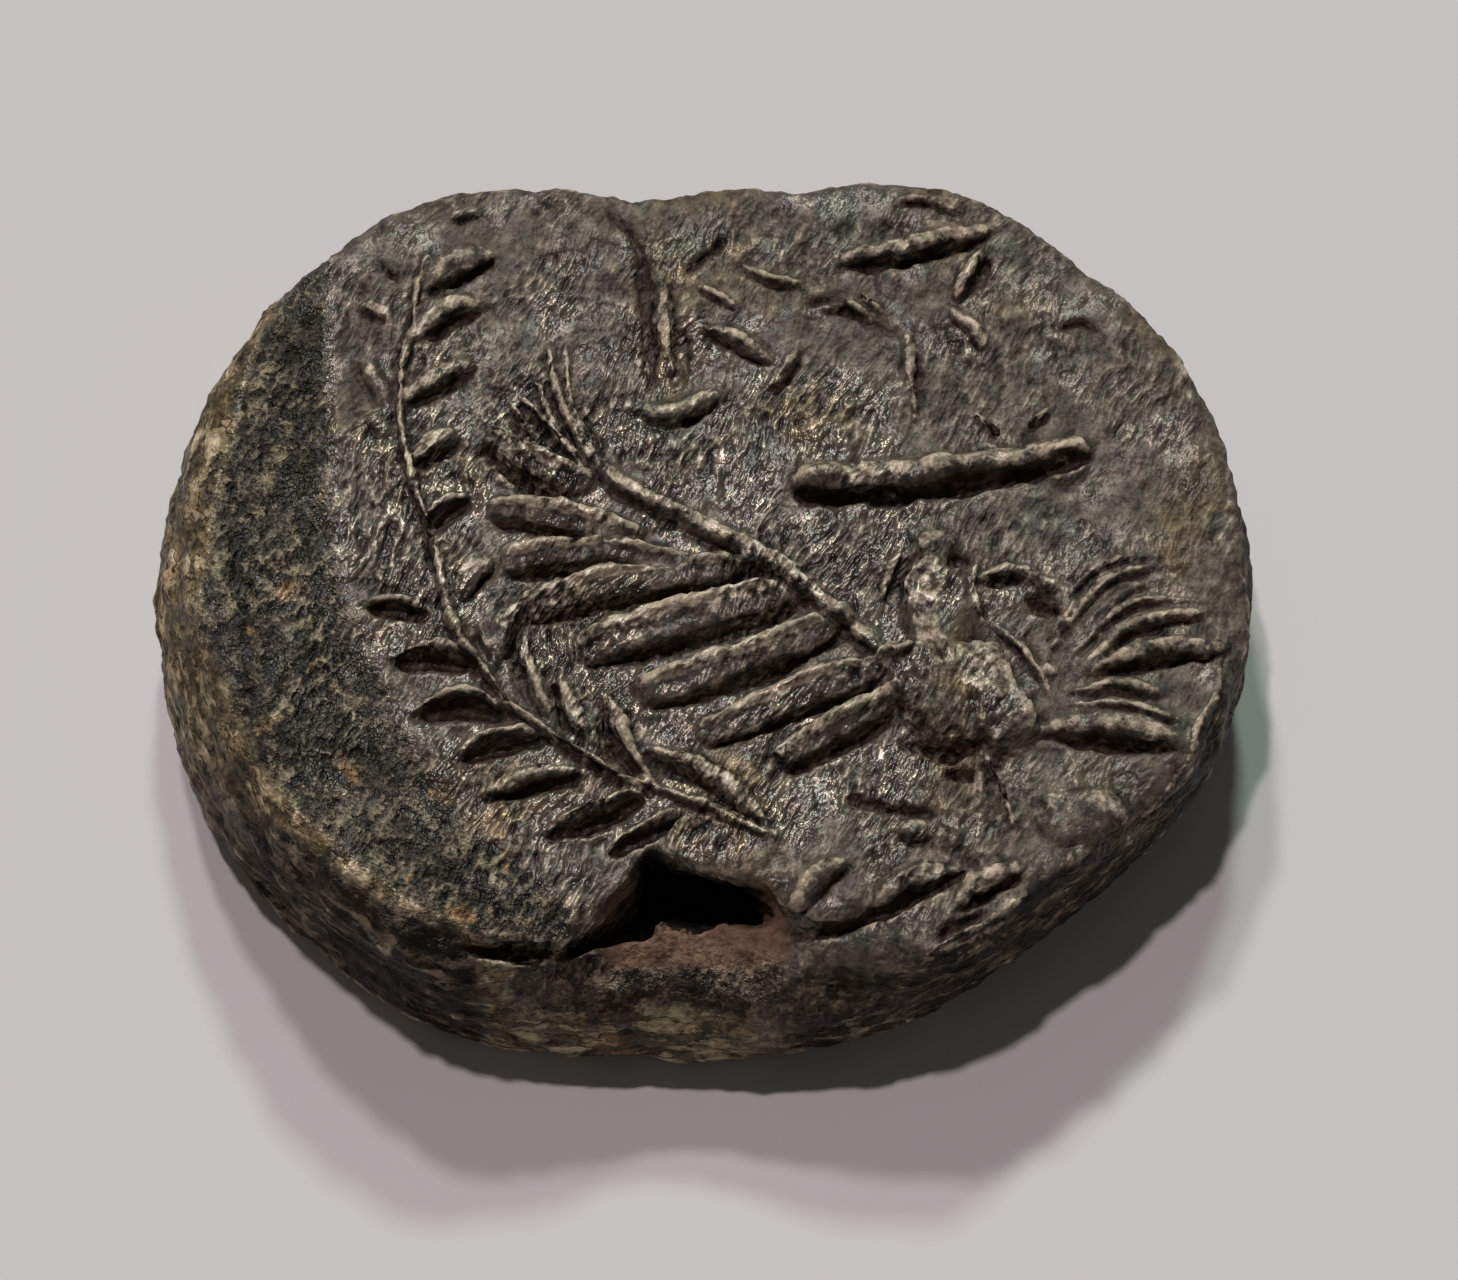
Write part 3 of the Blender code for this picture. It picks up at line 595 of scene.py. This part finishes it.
# --- the tear ---
# The struck sheet's torn edge, and the inner edge of the broken face below it, from left to right.
TORN_EDGE = (
    (-3.3, -8.6), (-2.9, -8.35), (-2.3, -7.8), (-1.7, -7.25), (-1.35, -6.8), (-1.1, -6.35), (-0.95, -6.35),
    (-0.5, -6.6), (0.0, -6.75), (0.9, -6.95), (1.5, -7.2), (1.8, -7.75), (2.1, -8.0), (2.7, -8.05),
)
BROKEN_EDGE = (
    (-3.3, -8.7), (-2.4, -8.3), (-1.5, -8.0), (-1.05, -8.0), (-0.93, -7.6), (-0.72, -7.16),
    (-0.35, -6.95), (0.2, -7.05), (1.0, -7.55), (1.75, -7.75), (2.0, -8.04), (2.7, -8.1),
)
LEDGE_HEIGHT = 3.92
LEDGE_EDGE = -7.4
LEDGE_SLOPE = 0.42
RIGHT_RISE, RIGHT_RISE_FROM, RIGHT_RISE_POWER = 0.45, 1.0, 1.5
LEFT_RISE, LEFT_RISE_FROM = 0.3, -1.8
HOLE_FLOOR = 1.9
HOLE_INSET = 0.06
FRONT_END = -10.6
ABOVE = 2.0 * FIELD_TOP


def height_of_line(line, x):
    return float(np.interp(x, *zip(*line)))


def ledge_height(x, y):
    """The broken face slopes down to the front and rises at its two ends."""
    right = RIGHT_RISE * max(x - RIGHT_RISE_FROM, 0.0) ** RIGHT_RISE_POWER
    left = LEFT_RISE * max(LEFT_RISE_FROM - x, 0.0)
    return LEDGE_HEIGHT + LEDGE_SLOPE * (y - LEDGE_EDGE) + right + left


def make_plug(name, back, front, floor):
    """A solid over a floor, between a back and a front line from left to right."""
    across, deep = 48, 14
    shape = bmesh.new()
    rows = []
    for column in range(across + 1):
        x = back[0][0] + (back[-1][0] - back[0][0]) * column / across
        far, near = height_of_line(back, x), height_of_line(front, x)
        steps = [far + (near - far) * step / deep for step in range(deep + 1)]
        rows.append([(shape.verts.new((x, y, floor(x, y))), shape.verts.new((x, y, ABOVE)))
                     for y in steps])
    for level in (0, 1):
        for left, right in zip(rows, rows[1:]):
            for step in range(deep):
                shape.faces.new((left[step][level], right[step][level], right[step + 1][level],
                                 left[step + 1][level]))
    rim = [rows[0][step] for step in range(deep + 1)] + [row[deep] for row in rows[1:]]
    rim += [rows[-1][step] for step in range(deep - 1, -1, -1)] + [row[0] for row in rows[-2:0:-1]]
    for number, pair in enumerate(rim):
        after = rim[(number + 1) % len(rim)]
        shape.faces.new((pair[0], after[0], after[1], pair[1]))
    return hidden_shape(name, shape)


def make_tube(name, places, radii):
    """A closed tube through places, with its own radius at each."""
    steps = 6
    curve = bpy.data.curves.new(name, "CURVE")
    curve.dimensions = "3D"
    curve.bevel_depth = 1.0
    curve.bevel_resolution = 4
    curve.use_fill_caps = True
    line = curve.splines.new("POLY")
    smooth = rounded(places, steps=steps)
    line.points.add(len(smooth) - 1)
    for number, point in enumerate(line.points):
        part = number / steps
        low = min(int(part), len(radii) - 2)
        point.co = (*smooth[number], 1.0)
        point.radius = radii[low] + (radii[low + 1] - radii[low]) * (part - low)
    tube = new_object(name, curve)
    shape = bmesh.new()
    shape.from_mesh(plain_mesh(tube))
    remove(tube)
    bmesh.ops.remove_doubles(shape, verts=shape.verts, dist=0.0001)
    return hidden_shape(name, shape)


def make_crack(name, lump, route, radii):
    """A cutter along a route on the lump, whose groove is as deep as its radius."""
    places = []
    for x, y in route:
        hit = lump.ray_cast(Vector((x, y, ABOVE)), Vector((0.0, 0.0, -1.0)))[1]
        places.append((x, y, hit.z))
    return make_tube(name, places, radii)


def cut_tear(lump):
    """The torn mouth: the broken face, the hole behind it, and the cracks to either side."""
    bpy.context.view_layer.update()
    front = ((-3.3, FRONT_END), (2.7, FRONT_END))
    cutters = [
        make_plug("broken_face", TORN_EDGE, front, ledge_height),
        make_plug("hole", [(x, y - HOLE_INSET) for x, y in TORN_EDGE[1:-3]], BROKEN_EDGE,
                  lambda x, y: HOLE_FLOOR),
        make_tube("hollow", ((-0.1, -7.6, 2.9), (0.1, -6.9, 3.2), (0.4, -5.6, 3.1), (0.6, -4.0, 2.9)),
                  (0.7, 1.05, 0.9, 0.3)),
        make_tube("side_pocket", (
            (-2.4, -8.1, 3.7), (-1.2, -7.5, 3.75), (0.2, -7.13, 3.6), (1.6, -7.66, 3.8)),
            (0.2, 0.4, 0.6, 0.3)),
        make_crack("left_crack", lump, ((-5.4, -8.5), (-4.6, -8.62), (-3.8, -8.62), (-3.1, -8.5)),
                   (0.12, 0.2, 0.26, 0.3)),
        make_crack("right_crack", lump, (
            (1.5, -7.85), (2.3, -8.1), (3.1, -8.1), (3.9, -7.8), (4.6, -7.35), (5.2, -6.85)),
            (0.3, 0.28, 0.24, 0.2, 0.15, 0.08)),
    ]
    for cutter in cutters:
        cut = lump.modifiers.new(cutter.name, "BOOLEAN")
        cut.operation = "DIFFERENCE"
        cut.object = cutter
    settle(lump)
    remove(*cutters)


def remesh(thing, voxel):
    step = thing.modifiers.new("remesh", "REMESH")
    step.mode = "VOXEL"
    step.voxel_size = voxel
    settle(thing)


# --- age ---
def age_tree():
    """A tree that makes the whole surface uneven: swells, lumps, grain, folded sides and pits."""
    bench, start, end = new_tree("age_surface", (
        ("Swell", "Float"), ("Lumps", "Float"), ("Grain", "Float"), ("Folds", "Float"), ("Pits", "Float")))
    place = bench.corners()
    normal = bench.out("GeometryNodeInputNormal")
    side = bench.ramp(bench.size(bench.part(normal, "Z")), 0.85, 0.35)
    total = bench.times(bench.noise(place, 0.35, 1.0)[0], start.outputs["Swell"])
    folded = bench.noise(place, 0.9, 3.0, 0.6, (0.55, 0.55, 2.2))[0]
    for uneven, amount in (
            (bench.noise(place, 1.5, 3.0, 0.6)[0], start.outputs["Lumps"]),
            (bench.noise(place, 4.5)[0], start.outputs["Grain"]),
            (folded, bench.times(start.outputs["Folds"], side))):
        total = bench.plus(total, bench.times(uneven, amount))
    pits = bench.ramp(bench.noise(place, 1.1)[0], 0.12, 0.3)
    total = bench.minus(total, bench.times(pits, start.outputs["Pits"]))
    total = bench.times(total, bench.ramp(bench.part(place, "Z"), 0.0, 0.4))
    return finish_tree(bench, start, end, bench.moved(start.outputs[0], bench.scaled(normal, total)))


def relief_tree():
    """A tree that measures how far each place stands out from its surroundings, near and wide."""
    bench, start, end = new_tree("measure_relief", (("Near", "Int"), ("Wide", "Int")))
    place = bench.corners()
    normal = bench.out("GeometryNodeInputNormal")
    shape = start.outputs[0]
    for name in ("Near", "Wide"):
        soft = bench.out("GeometryNodeBlurAttribute", {
            "Value": place, "Iterations": start.outputs[name]}, data_type="FLOAT_VECTOR")
        stands = bench.measure("DOT_PRODUCT", bench.vector("SUBTRACT", place, soft), normal)
        shape = bench.keep(shape, name.lower() + "_relief", stands)
    return finish_tree(bench, start, end, shape)


# --- where each finish lies ---
DIE_EDGE = ((-2.5, -8.0), (-3.5, -7.0), (-4.8, -6.0), (-5.5, -5.0), (-6.2, -4.0), (-6.6, -3.0),
            (-7.3, -1.5), (-7.8, 0.0), (-8.0, 1.0), (-8.1, 3.0), (-8.2, 5.0), (-8.3, 7.0))
BAND_EDGE = ((-4.0, -8.6), (-6.0, -7.7), (-7.0, -7.0), (-8.0, -6.1), (-8.7, -5.5), (-9.3, -4.7),
             (-9.8, -3.7), (-10.3, -2.5), (-10.9, -1.2), (-10.9, -0.5), (-10.7, 0.4), (-10.6, 1.6),
             (-10.4, 2.8), (-10.1, 4.4), (-9.7, 6.1), (-9.0, 8.1))
HALF_LENGTH, HALF_WIDTH = 12.2, 9.9


def fade(values, low, high):
    """Carries values smoothly from 0 at low to 1 at high, where low may be the larger."""
    part = np.clip((values - low) / (high - low), 0.0, 1.0)
    return part * part * (3.0 - 2.0 * part)


def corner_values(mesh, name):
    """Three numbers for each corner of the mesh, such as its place."""
    values = np.empty(len(mesh.vertices) * 3, dtype=np.float32)
    mesh.vertices.foreach_get(name, values)
    return values.reshape(-1, 3)


def mark_finishes(mesh):
    """Keeps, at each corner of the mesh, how much of each finish it has."""
    x, y, z = corner_values(mesh, "co").T
    up = corner_values(mesh, "normal")[:, 2]
    outside, past = (np.interp(y, [point[1] for point in edge], [point[0] for point in edge]) - x
                     for edge in (DIE_EDGE, BAND_EDGE))
    outside = np.where(y < DIE_EDGE[0][1], np.maximum(outside, DIE_EDGE[0][1] - y), outside)

    # The dark band lies past the die's edge, and the brown flank past the band and below it.
    left = fade(outside, -0.35, 0.6) * fade(x, 2.5, 0.5)
    beyond = left * np.maximum(fade(past, -0.1, 0.3), fade(z, 3.6, 3.0))
    flank = beyond * np.maximum(fade(y, -7.0, -2.5), fade(past, 1.0, 0.5))
    keep_values(mesh, "band", left * (1.0 - beyond))
    keep_values(mesh, "flank", flank)

    # The other walls are steep and near the outline.
    rim = fade(np.hypot(x / HALF_LENGTH, y / HALF_WIDTH), 0.84, 0.92)
    keep_values(mesh, "side", np.maximum(fade(up, 0.75, 0.35) * rim * (1.0 - left), beyond - flank))

    # In the tear: the broken face near its own height, the inside of the hole, which is painted near black
    # as painted shade, and the lip below.
    ledge = LEDGE_HEIGHT + LEDGE_SLOPE * (y - LEDGE_EDGE)
    torn = fade(np.abs(z - ledge), 0.6, 0.3) * fade(x, -2.4, -1.8) * fade(x, 2.4, 1.6)
    torn *= fade(y, -6.9, -7.2) * fade(y, -8.75, -8.4)
    keep_values(mesh, "broken", torn)
    deep = fade(y, -7.7, -7.1) * fade(np.hypot(x - 0.2, (y + 5.5) * 0.6), 1.9, 1.5) * fade(z, 4.55, 4.3)
    keep_values(mesh, "painted_hole_shade", deep * (np.abs(x) < 3.0) * (z > 1.0))
    lip = fade(y, -7.2, -8.2) * fade(z, 3.9, 3.6) * fade(z, 2.4, 3.1) * fade(np.abs(x), 5.0, 3.0)
    keep_values(mesh, "lip", lip)


# --- the finish ---
WRINKLE_TURN = 62.0                  # degrees
WRINKLE_SIZE = (0.4, 0.16, 0.22)
LIVELY_MIDDLE = (-1.5, -1.0, 5.0)    # the metal glints most around here
MIDDLE_GREY = (0.5, 0.5, 0.5)
BUMP_HEIGHT = 0.1 * MM


def colour(red, green, blue):
    """A colour given as it looks on a screen, 0 to 255."""
    def linear(value):
        value /= 255.0
        return value / 12.92 if value <= 0.04045 else ((value + 0.055) / 1.055) ** 2.4
    return linear(red), linear(green), linear(blue), 1.0


class Finish:
    """A material that is built up from masks and colours."""

    def __init__(self, name):
        self.material = bpy.data.materials.new(name)
        self.material.use_nodes = True
        tree = self.material.node_tree
        self.shader = tree.nodes["Principled BSDF"]
        self.bench = Bench(tree)
        coordinates = self.bench.node("ShaderNodeTexCoord").outputs["Object"]
        self.place = self.bench.out("ShaderNodeMapping", {
            "Vector": coordinates, "Scale": (1.0 / MM,) * 3})

    def masks(self, *names):
        """Values that the mesh keeps under these names."""
        return [self.bench.node("ShaderNodeAttribute", attribute_name=name).outputs["Fac"]
                for name in names]

    def blend(self, amount, under, over):
        """One value where the amount is 0 and another where it is 1."""
        return self.bench.out("ShaderNodeMix", {0: amount, 2: under, 3: over})

    def mix(self, amount, under, over, way="MIX"):
        return self.bench.node("ShaderNodeMix", {0: amount, 6: under, 7: over},
                               data_type="RGBA", blend_type=way).outputs[2]

    def tones(self, value, stops):
        """Colours along a value, each stop being where it lies and its red, green and blue."""
        made = self.bench.node("ShaderNodeValToRGB", {"Fac": value})
        steps = made.color_ramp.elements
        for number, (place, *look) in enumerate(stops):
            step = steps[number] if number < 2 else steps.new(place)
            step.position = place
            step.color = colour(*look)
        return made.outputs["Color"]

    def coat(self, under, amount, value, stops):
        """Colours along a value, laid over what is there by an amount."""
        return self.mix(amount, under, self.tones(value, stops))

    def use(self, socket, value):
        self.bench.tree.links.new(value, self.shader.inputs[socket])


def surface_textures(finish):
    """The fine height of the old lead, and the patterns that its colours follow."""
    bench, place = finish.bench, finish.place
    plus, times, most, ramp, noise = bench.plus, bench.times, bench.most, bench.ramp, bench.noise
    band, flank, side, lip, broken = finish.masks("band", "flank", "side", "lip", "broken")
    mottle, tints = noise(place, 1.9, 4.0, 0.65)
    grain = noise(place, 10.0, 1.0)[0]
    pebble = noise(place, 4.0, 2.0, 0.6)[0]

    # Wrinkles and flakes lie along a direction that drifts over the struck face.
    swirl = bench.vector("SUBTRACT", noise(place, 0.3)[1], MIDDLE_GREY)
    turned = bench.out("ShaderNodeMapping", {
        "Vector": bench.vector("ADD", place, bench.scaled(swirl, 1.1)),
        "Rotation": (0.0, 0.0, math.radians(WRINKLE_TURN)), "Scale": WRINKLE_SIZE},
        vector_type="TEXTURE")
    wrinkle = noise(turned, 1.0, 1.0)[0]
    jumbled = bench.vector("ADD", turned, bench.scaled(noise(turned, 1.6, 0.0)[1], 0.9))
    flake = bench.node("ShaderNodeTexVoronoi", {
        "Vector": jumbled, "Scale": 1.35}, feature="F1").outputs["Color"]
    flake = bench.vector("SUBTRACT", flake, MIDDLE_GREY)
    out = bench.measure("LENGTH", bench.vector("SUBTRACT", place, LIVELY_MIDDLE))
    calm = ramp(out, 4.0, 10.0, 1.35, 0.65)
    lively = times(calm, ramp(noise(place, 0.55)[0], -0.12, 0.14, 0.3, 1.15))
    struck = times(lively, plus(times(wrinkle, 1.5), times(pebble, 0.6)))

    # Strands run round the rim, and folds round the walls.
    folds = noise(place, 1.0, 4.0, 0.62, (1.0, 1.0, 3.2))[0]
    spread = bench.measure("LENGTH", bench.vector("MULTIPLY", place, (1.0, 1.2, 0.0)))
    ringed = bench.vector("ADD", bench.vector("MULTIPLY", place, (0.5, 0.5, 0.5)),
                          bench.lifted(times(plus(spread, times(mottle, 1.6)), 1.8)))
    tangle = plus(times(noise(ringed, 1.5, 3.0, 0.62)[0], 0.7), noise(place, 2.8, 3.0, 0.66)[0])
    thread = times(ramp(bench.size(tangle), 0.1, 0.0), ramp(mottle, -0.15, 0.1))
    wall = most(flank, side)
    crack = times(ramp(bench.size(folds), 0.035, 0.0), wall)
    crease = finish.blend(flank, ramp(bench.part(place, "Y"), -5.0, 0.0, 1.0, 0.5), 0.8)
    creased = bench.minus(plus(times(folds, 2.4), tangle), times(crack, 0.18))
    fine = finish.blend(wall, struck, times(crease, creased))
    mixed = plus(plus(times(struck, 1.2), times(tangle, 1.2)), times(grain, 0.5))
    fine = finish.blend(most(band, lip), fine, plus(mixed, times(thread, 0.35)))
    fine = plus(times(fine, ramp(broken, 0.0, 1.0, 1.0, 0.3)), times(grain, 0.25))
    return fine, flake, calm, crack, mottle, tints, pebble, ringed


def lead_finish():
    """Old lead: grey metal with glints, tan crust on what stands out with a painted highlight on lit
    crests, and dirt with painted shade in the hollows.
    """
    finish = Finish("old_lead")
    bench, place = finish.bench, finish.place
    plus, times, most, ramp, noise = bench.plus, bench.times, bench.most, bench.ramp, bench.noise
    band, flank, side, lip, broken = finish.masks("band", "flank", "side", "lip", "broken")
    # crest holds a painted highlight with the tan crust, and groove holds painted shade with dirt, both
    # from the struck lines.
    painted_hole_shade, crest, groove = finish.masks("painted_hole_shade", "crest", "groove")
    near, wide = finish.masks("near_relief", "wide_relief")
    fine, flake, calm, crack, mottle, tints, pebble, ringed = surface_textures(finish)
    # The tones follow the fine height as well as a mottle: the fine creases are painted darker, a painted
    # shade, and the rises lighter, a painted highlight.
    level = plus(plus(fine, times(mottle, 0.9)), 0.5)

    # The bare metal, with brown and green clouds.
    cloud = noise(place, 0.32, 3.0, 0.6)[0]
    drift = noise(place, 0.45, 2.0, 0.6, (1.0, 1.0, 0.5))[0]
    tone = finish.tones(level, (
        (0.05, 24, 18, 15), (0.3, 54, 46, 40), (0.5, 82, 73, 64), (0.7, 116, 105, 92),
        (0.95, 170, 158, 140)))
    tone = finish.coat(tone, ramp(cloud, 0.0, 0.16, 0.0, 0.85), level, (
        (0.05, 26, 19, 14), (0.35, 68, 55, 43), (0.65, 108, 92, 71), (0.95, 160, 140, 110)))
    tone = finish.coat(tone, ramp(drift, 0.08, 0.2, 0.0, 0.6), level, (
        (0.05, 22, 23, 19), (0.4, 62, 66, 56), (0.7, 106, 112, 96), (0.95, 160, 166, 148)))

    # The dark band, the brown flank with ochre earth, the walls and the lip.
    patch = noise(place, 0.9, 3.0, 0.6)[0]
    streak = noise(ringed, 0.8, 4.0, 0.65)[0]
    # The band's near-black tones are partly its own dark patina and partly painted shade, for a slope that
    # catches little light.
    ragged = times(ramp(plus(band, times(patch, 1.7)), 0.2, 0.8), ramp(mottle, -0.25, 0.1, 0.5, 1.0))
    tone = finish.coat(tone, ragged, plus(times(level, 0.55), ramp(streak, -0.18, 0.2, 0.06, 0.37)), (
        (0.25, 5, 6, 4), (0.42, 24, 25, 20), (0.6, 60, 55, 44), (0.88, 152, 140, 114)))
    tone = finish.coat(tone, flank, level, (
        (0.05, 26, 20, 12), (0.35, 82, 68, 47), (0.6, 140, 120, 90), (0.95, 206, 190, 156)))
    ochre = times(ramp(noise(place, 0.85, 3.0, 0.6)[0], 0.1, 0.2), most(band, flank))
    tone = finish.coat(tone, times(ochre, 0.6), level, (
        (0.1, 44, 26, 14), (0.5, 122, 86, 50), (0.9, 190, 154, 106)))
    tone = finish.coat(tone, side, level, (
        (0.1, 10, 8, 6), (0.4, 37, 31, 25), (0.6, 68, 59, 48), (0.95, 128, 113, 93)))
    tone = finish.coat(tone, lip, plus(times(level, 0.5), ramp(streak, -0.18, 0.2, 0.12, 0.38)), (
        (0.22, 12, 10, 8), (0.42, 42, 35, 30), (0.6, 78, 67, 56), (0.9, 150, 134, 110)))
    tone = finish.mix(times(crack, 0.7), tone, colour(16, 11, 8))

    # Tan crust on what stands out, with a painted highlight on the lit side of crests, and dark soil with
    # painted shade in what lies deep and on the sides away from the light.
    crust = ramp(plus(near, times(mottle, 0.13)), 0.06, 0.12, 0.0, 0.7)
    worn = times(plus(mottle, times(pebble, 0.8)), 1.2)
    crust = most(crust, ramp(plus(crest, worn), 0.45, 0.85, 0.0, 0.9))
    tone = finish.coat(tone, crust, level, (
        (0.05, 64, 52, 42), (0.3, 128, 112, 94), (0.6, 184, 168, 146), (0.9, 222, 210, 190)))
    # Small and wide hollows and the grooves' shaded sides are darkened: dirt and painted shade.
    dirt_and_painted_shade = ramp(plus(near, times(mottle, 0.05)), -0.02, -0.07)
    hollow = most(most(dirt_and_painted_shade, ramp(wide, -0.1, -0.32, 0.0, 0.7)), groove)
    tone = finish.coat(tone, times(hollow, 0.8), level, (
        (0.2, 18, 12, 10), (0.6, 54, 42, 35), (1.0, 98, 84, 70)))
    tone = finish.mix(0.16, tone, tints, "OVERLAY")
    tone = finish.coat(tone, broken, level, (
        (0.2, 70, 50, 40), (0.5, 108, 84, 68), (0.9, 138, 112, 92)))
    # The inside of the hole is painted near black: painted shade.
    finish.use("Base Color", finish.mix(painted_hole_shade, tone, colour(8, 6, 5)))
    finish.shader.inputs["Specular Tint"].default_value = (1.0, 0.96, 0.9, 1.0)

    # It shines least on broken metal, on crust with its painted highlight and where dirt and painted shade
    # lie, and most along the die's edge.
    dull = most(broken, painted_hole_shade)
    for part, amount in ((flank, 0.1), (side, 0.45), (lip, 0.5), (most(crust, hollow), 0.6)):
        dull = most(dull, times(part, amount))
    gleam = times(calm, ramp(noise(place, 0.8)[0], -0.1, 0.15, 0.4, 1.0))
    edge = ramp(bench.size(bench.minus(band, 0.4)), 0.38, 0.1, 0.0, 0.9)
    shine = times(bench.minus(1.0, dull), most(gleam, edge))
    bare = times(ramp(level, 0.4, 0.8, 0.1, 0.5), bench.minus(1.0, times(band, 0.7)))
    finish.use("Metallic", times(shine, bare))
    finish.use("Roughness", ramp(shine, 0.0, 1.0, 0.55, 0.28))
    finish.use("Specular IOR Level", ramp(shine, 0.0, 1.0, 0.1, 0.55))

    bump = bench.node("ShaderNodeBump", {"Height": fine, "Strength": 1.0, "Distance": BUMP_HEIGHT})
    tilted = bench.vector("ADD", bump.outputs[0], bench.scaled(flake, 0.3))
    finish.use("Normal", bench.vector("NORMALIZE", tilted))
    return finish.material


def paper_finish():
    finish = Finish("pale_floor")
    finish.shader.inputs["Base Color"].default_value = (0.61, 0.585, 0.575, 1.0)
    finish.shader.inputs["Roughness"].default_value = 0.9
    finish.shader.inputs["Specular IOR Level"].default_value = 0.1
    return finish.material


# --- the seal ---
def thin_out(seal):
    """Thins the mesh to its most triangles, much more below than on the struck face."""
    count = sum(len(face.vertices) - 2 for face in seal.data.polygons)
    below = seal.vertex_groups.new(name="below")
    for name, test in (("top", lambda up: up > 0.5), ("side", lambda up: -0.5 < up <= 0.5),
                       ("under", lambda up: up <= -0.5)):
        chosen = [corner.index for corner in seal.data.vertices if test(corner.normal.z)]
        below.add(chosen, UNKEPT[name], "REPLACE")
    thin = seal.modifiers.new("thin", "DECIMATE")
    thin.ratio = MOST_TRIANGLES / count
    thin.vertex_group = below.name
    thin.vertex_group_factor = 1.0
    settle(seal)
    seal.vertex_groups.clear()


def run_trees(seal, make_tree, kinds, guides, lead):
    """Works the kinds of line into the seal, with a tree for each."""
    for number, (lines, guide) in enumerate(zip(kinds, guides)):
        use_tree(seal, make_tree(lines), {
            "Lines": guide, "Waver": lines.waver, "Seed": SEED + number * SEED_STEP, "Material": lead})
    settle(seal)


def make_seal(lead):
    seal = make_lump()
    cut_tear(seal)
    remesh(seal, UNSTRUCK_VOXEL)
    kinds = struck_lines()
    guides = [lines.guide() for lines in kinds]
    run_trees(seal, strike_tree, kinds, guides, lead)
    remesh(seal, VOXEL)
    use_tree(seal, age_tree(), {
        "Swell": 0.3, "Lumps": 0.28, "Grain": 0.07, "Folds": 0.5, "Pits": 0.12, "Material": lead})
    settle(seal)
    thin_out(seal)
    run_trees(seal, mark_tree, kinds, guides, lead)
    remove(*guides)
    use_tree(seal, relief_tree(), {"Near": 10, "Wide": 60, "Material": lead})
    settle(seal)
    mark_finishes(seal.data)
    place_seal(seal)
    seal.data.shade_smooth()
    seal.name = seal.data.name = "struck_seal"
    seal.hide_render = False
    return seal


def place_seal(seal):
    """Turns millimetres into metres and puts the seal in the middle of the frame's box."""
    places = corner_values(seal.data, "co") * MM
    low, high = places.min(axis=0), places.max(axis=0)
    shift = (np.array(CAD_LOW) + np.array(CAD_HIGH) - low - high) / 2.0
    shift[2] = CAD_LOW[2] - low[2]
    seal.data.vertices.foreach_set("co", (places + shift).astype(np.float32).ravel())
    seal.data.update()


# --- floor, lights and camera ---
FLOOR_HALF = 0.5                     # metres
FULL_LIGHT = 0.92                    # what falls on the floor, of which the room gives a share
ROOM_SHARE = 0.08
# Each light's compass direction from +X, its height and its spread in degrees, share and tint.
LIGHTS = (
    ("overhead", 130.0, 74.5, 3.0, 0.37, (1.05, 0.94, 1.0)),
    ("back_left", 104.0, 50.0, 5.0, 0.29, (1.03, 0.94, 1.0)),
    ("back", 87.0, 43.5, 5.5, 0.26, (0.9, 1.14, 1.0)),
)
CAMERA_ANGLE = 66.0                  # degrees above the floor
CAMERA_DISTANCE = 0.15               # metres
CAMERA_TARGET = Vector((0.000605, -0.000785, 0.003))


def make_floor(paper):
    shape = bmesh.new()
    bmesh.ops.create_grid(shape, x_segments=1, y_segments=1, size=FLOOR_HALF)
    for corner in shape.verts:
        corner.co.z = CAD_LOW[2]
    mesh = bpy.data.meshes.new("floor")
    shape.to_mesh(mesh)
    shape.free()
    mesh.materials.append(paper)
    floor = new_object("floor", mesh)


def light_scene():
    for name, direction, height, spread, share, tint in LIGHTS:
        around, up = math.radians(direction), math.radians(height)
        light = bpy.data.lights.new(name, "SUN")
        light.angle = math.radians(spread)
        light.energy = share * (FULL_LIGHT * math.pi) / math.sin(up)
        light.color = tint
        towards = Vector((math.cos(around) * math.cos(up), math.sin(around) * math.cos(up), math.sin(up)))
        new_object(name, light).rotation_euler = towards.to_track_quat("Z", "Y").to_euler()
    world = bpy.data.worlds.new("room")
    world.use_nodes = True
    room = world.node_tree.nodes["Background"].inputs
    room["Color"].default_value = (1.0, 1.0, 1.0, 1.0)
    room["Strength"].default_value = ROOM_SHARE * FULL_LIGHT
    bpy.context.scene.world = world


def add_camera():
    """Looks down on the seal from the front."""
    data = bpy.data.cameras.new("camera")
    data.lens = 166.7
    data.sensor_width = 36.0
    data.clip_start = 0.001
    camera = new_object("camera", data)
    angle = math.radians(CAMERA_ANGLE)
    camera.location = CAMERA_TARGET - Vector((0.0, math.cos(angle), -math.sin(angle))) * CAMERA_DISTANCE
    camera.rotation_euler = (math.radians(90.0) - angle, 0.0, 0.0)
    bpy.context.scene.camera = camera


def main():
    bpy.context.scene.view_settings.view_transform = "Standard"
    lead = lead_finish()
    seal = make_seal(lead)
    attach(seal, "root")
    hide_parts("lead_seal")
    make_floor(paper_finish())
    light_scene()
    add_camera()


main()
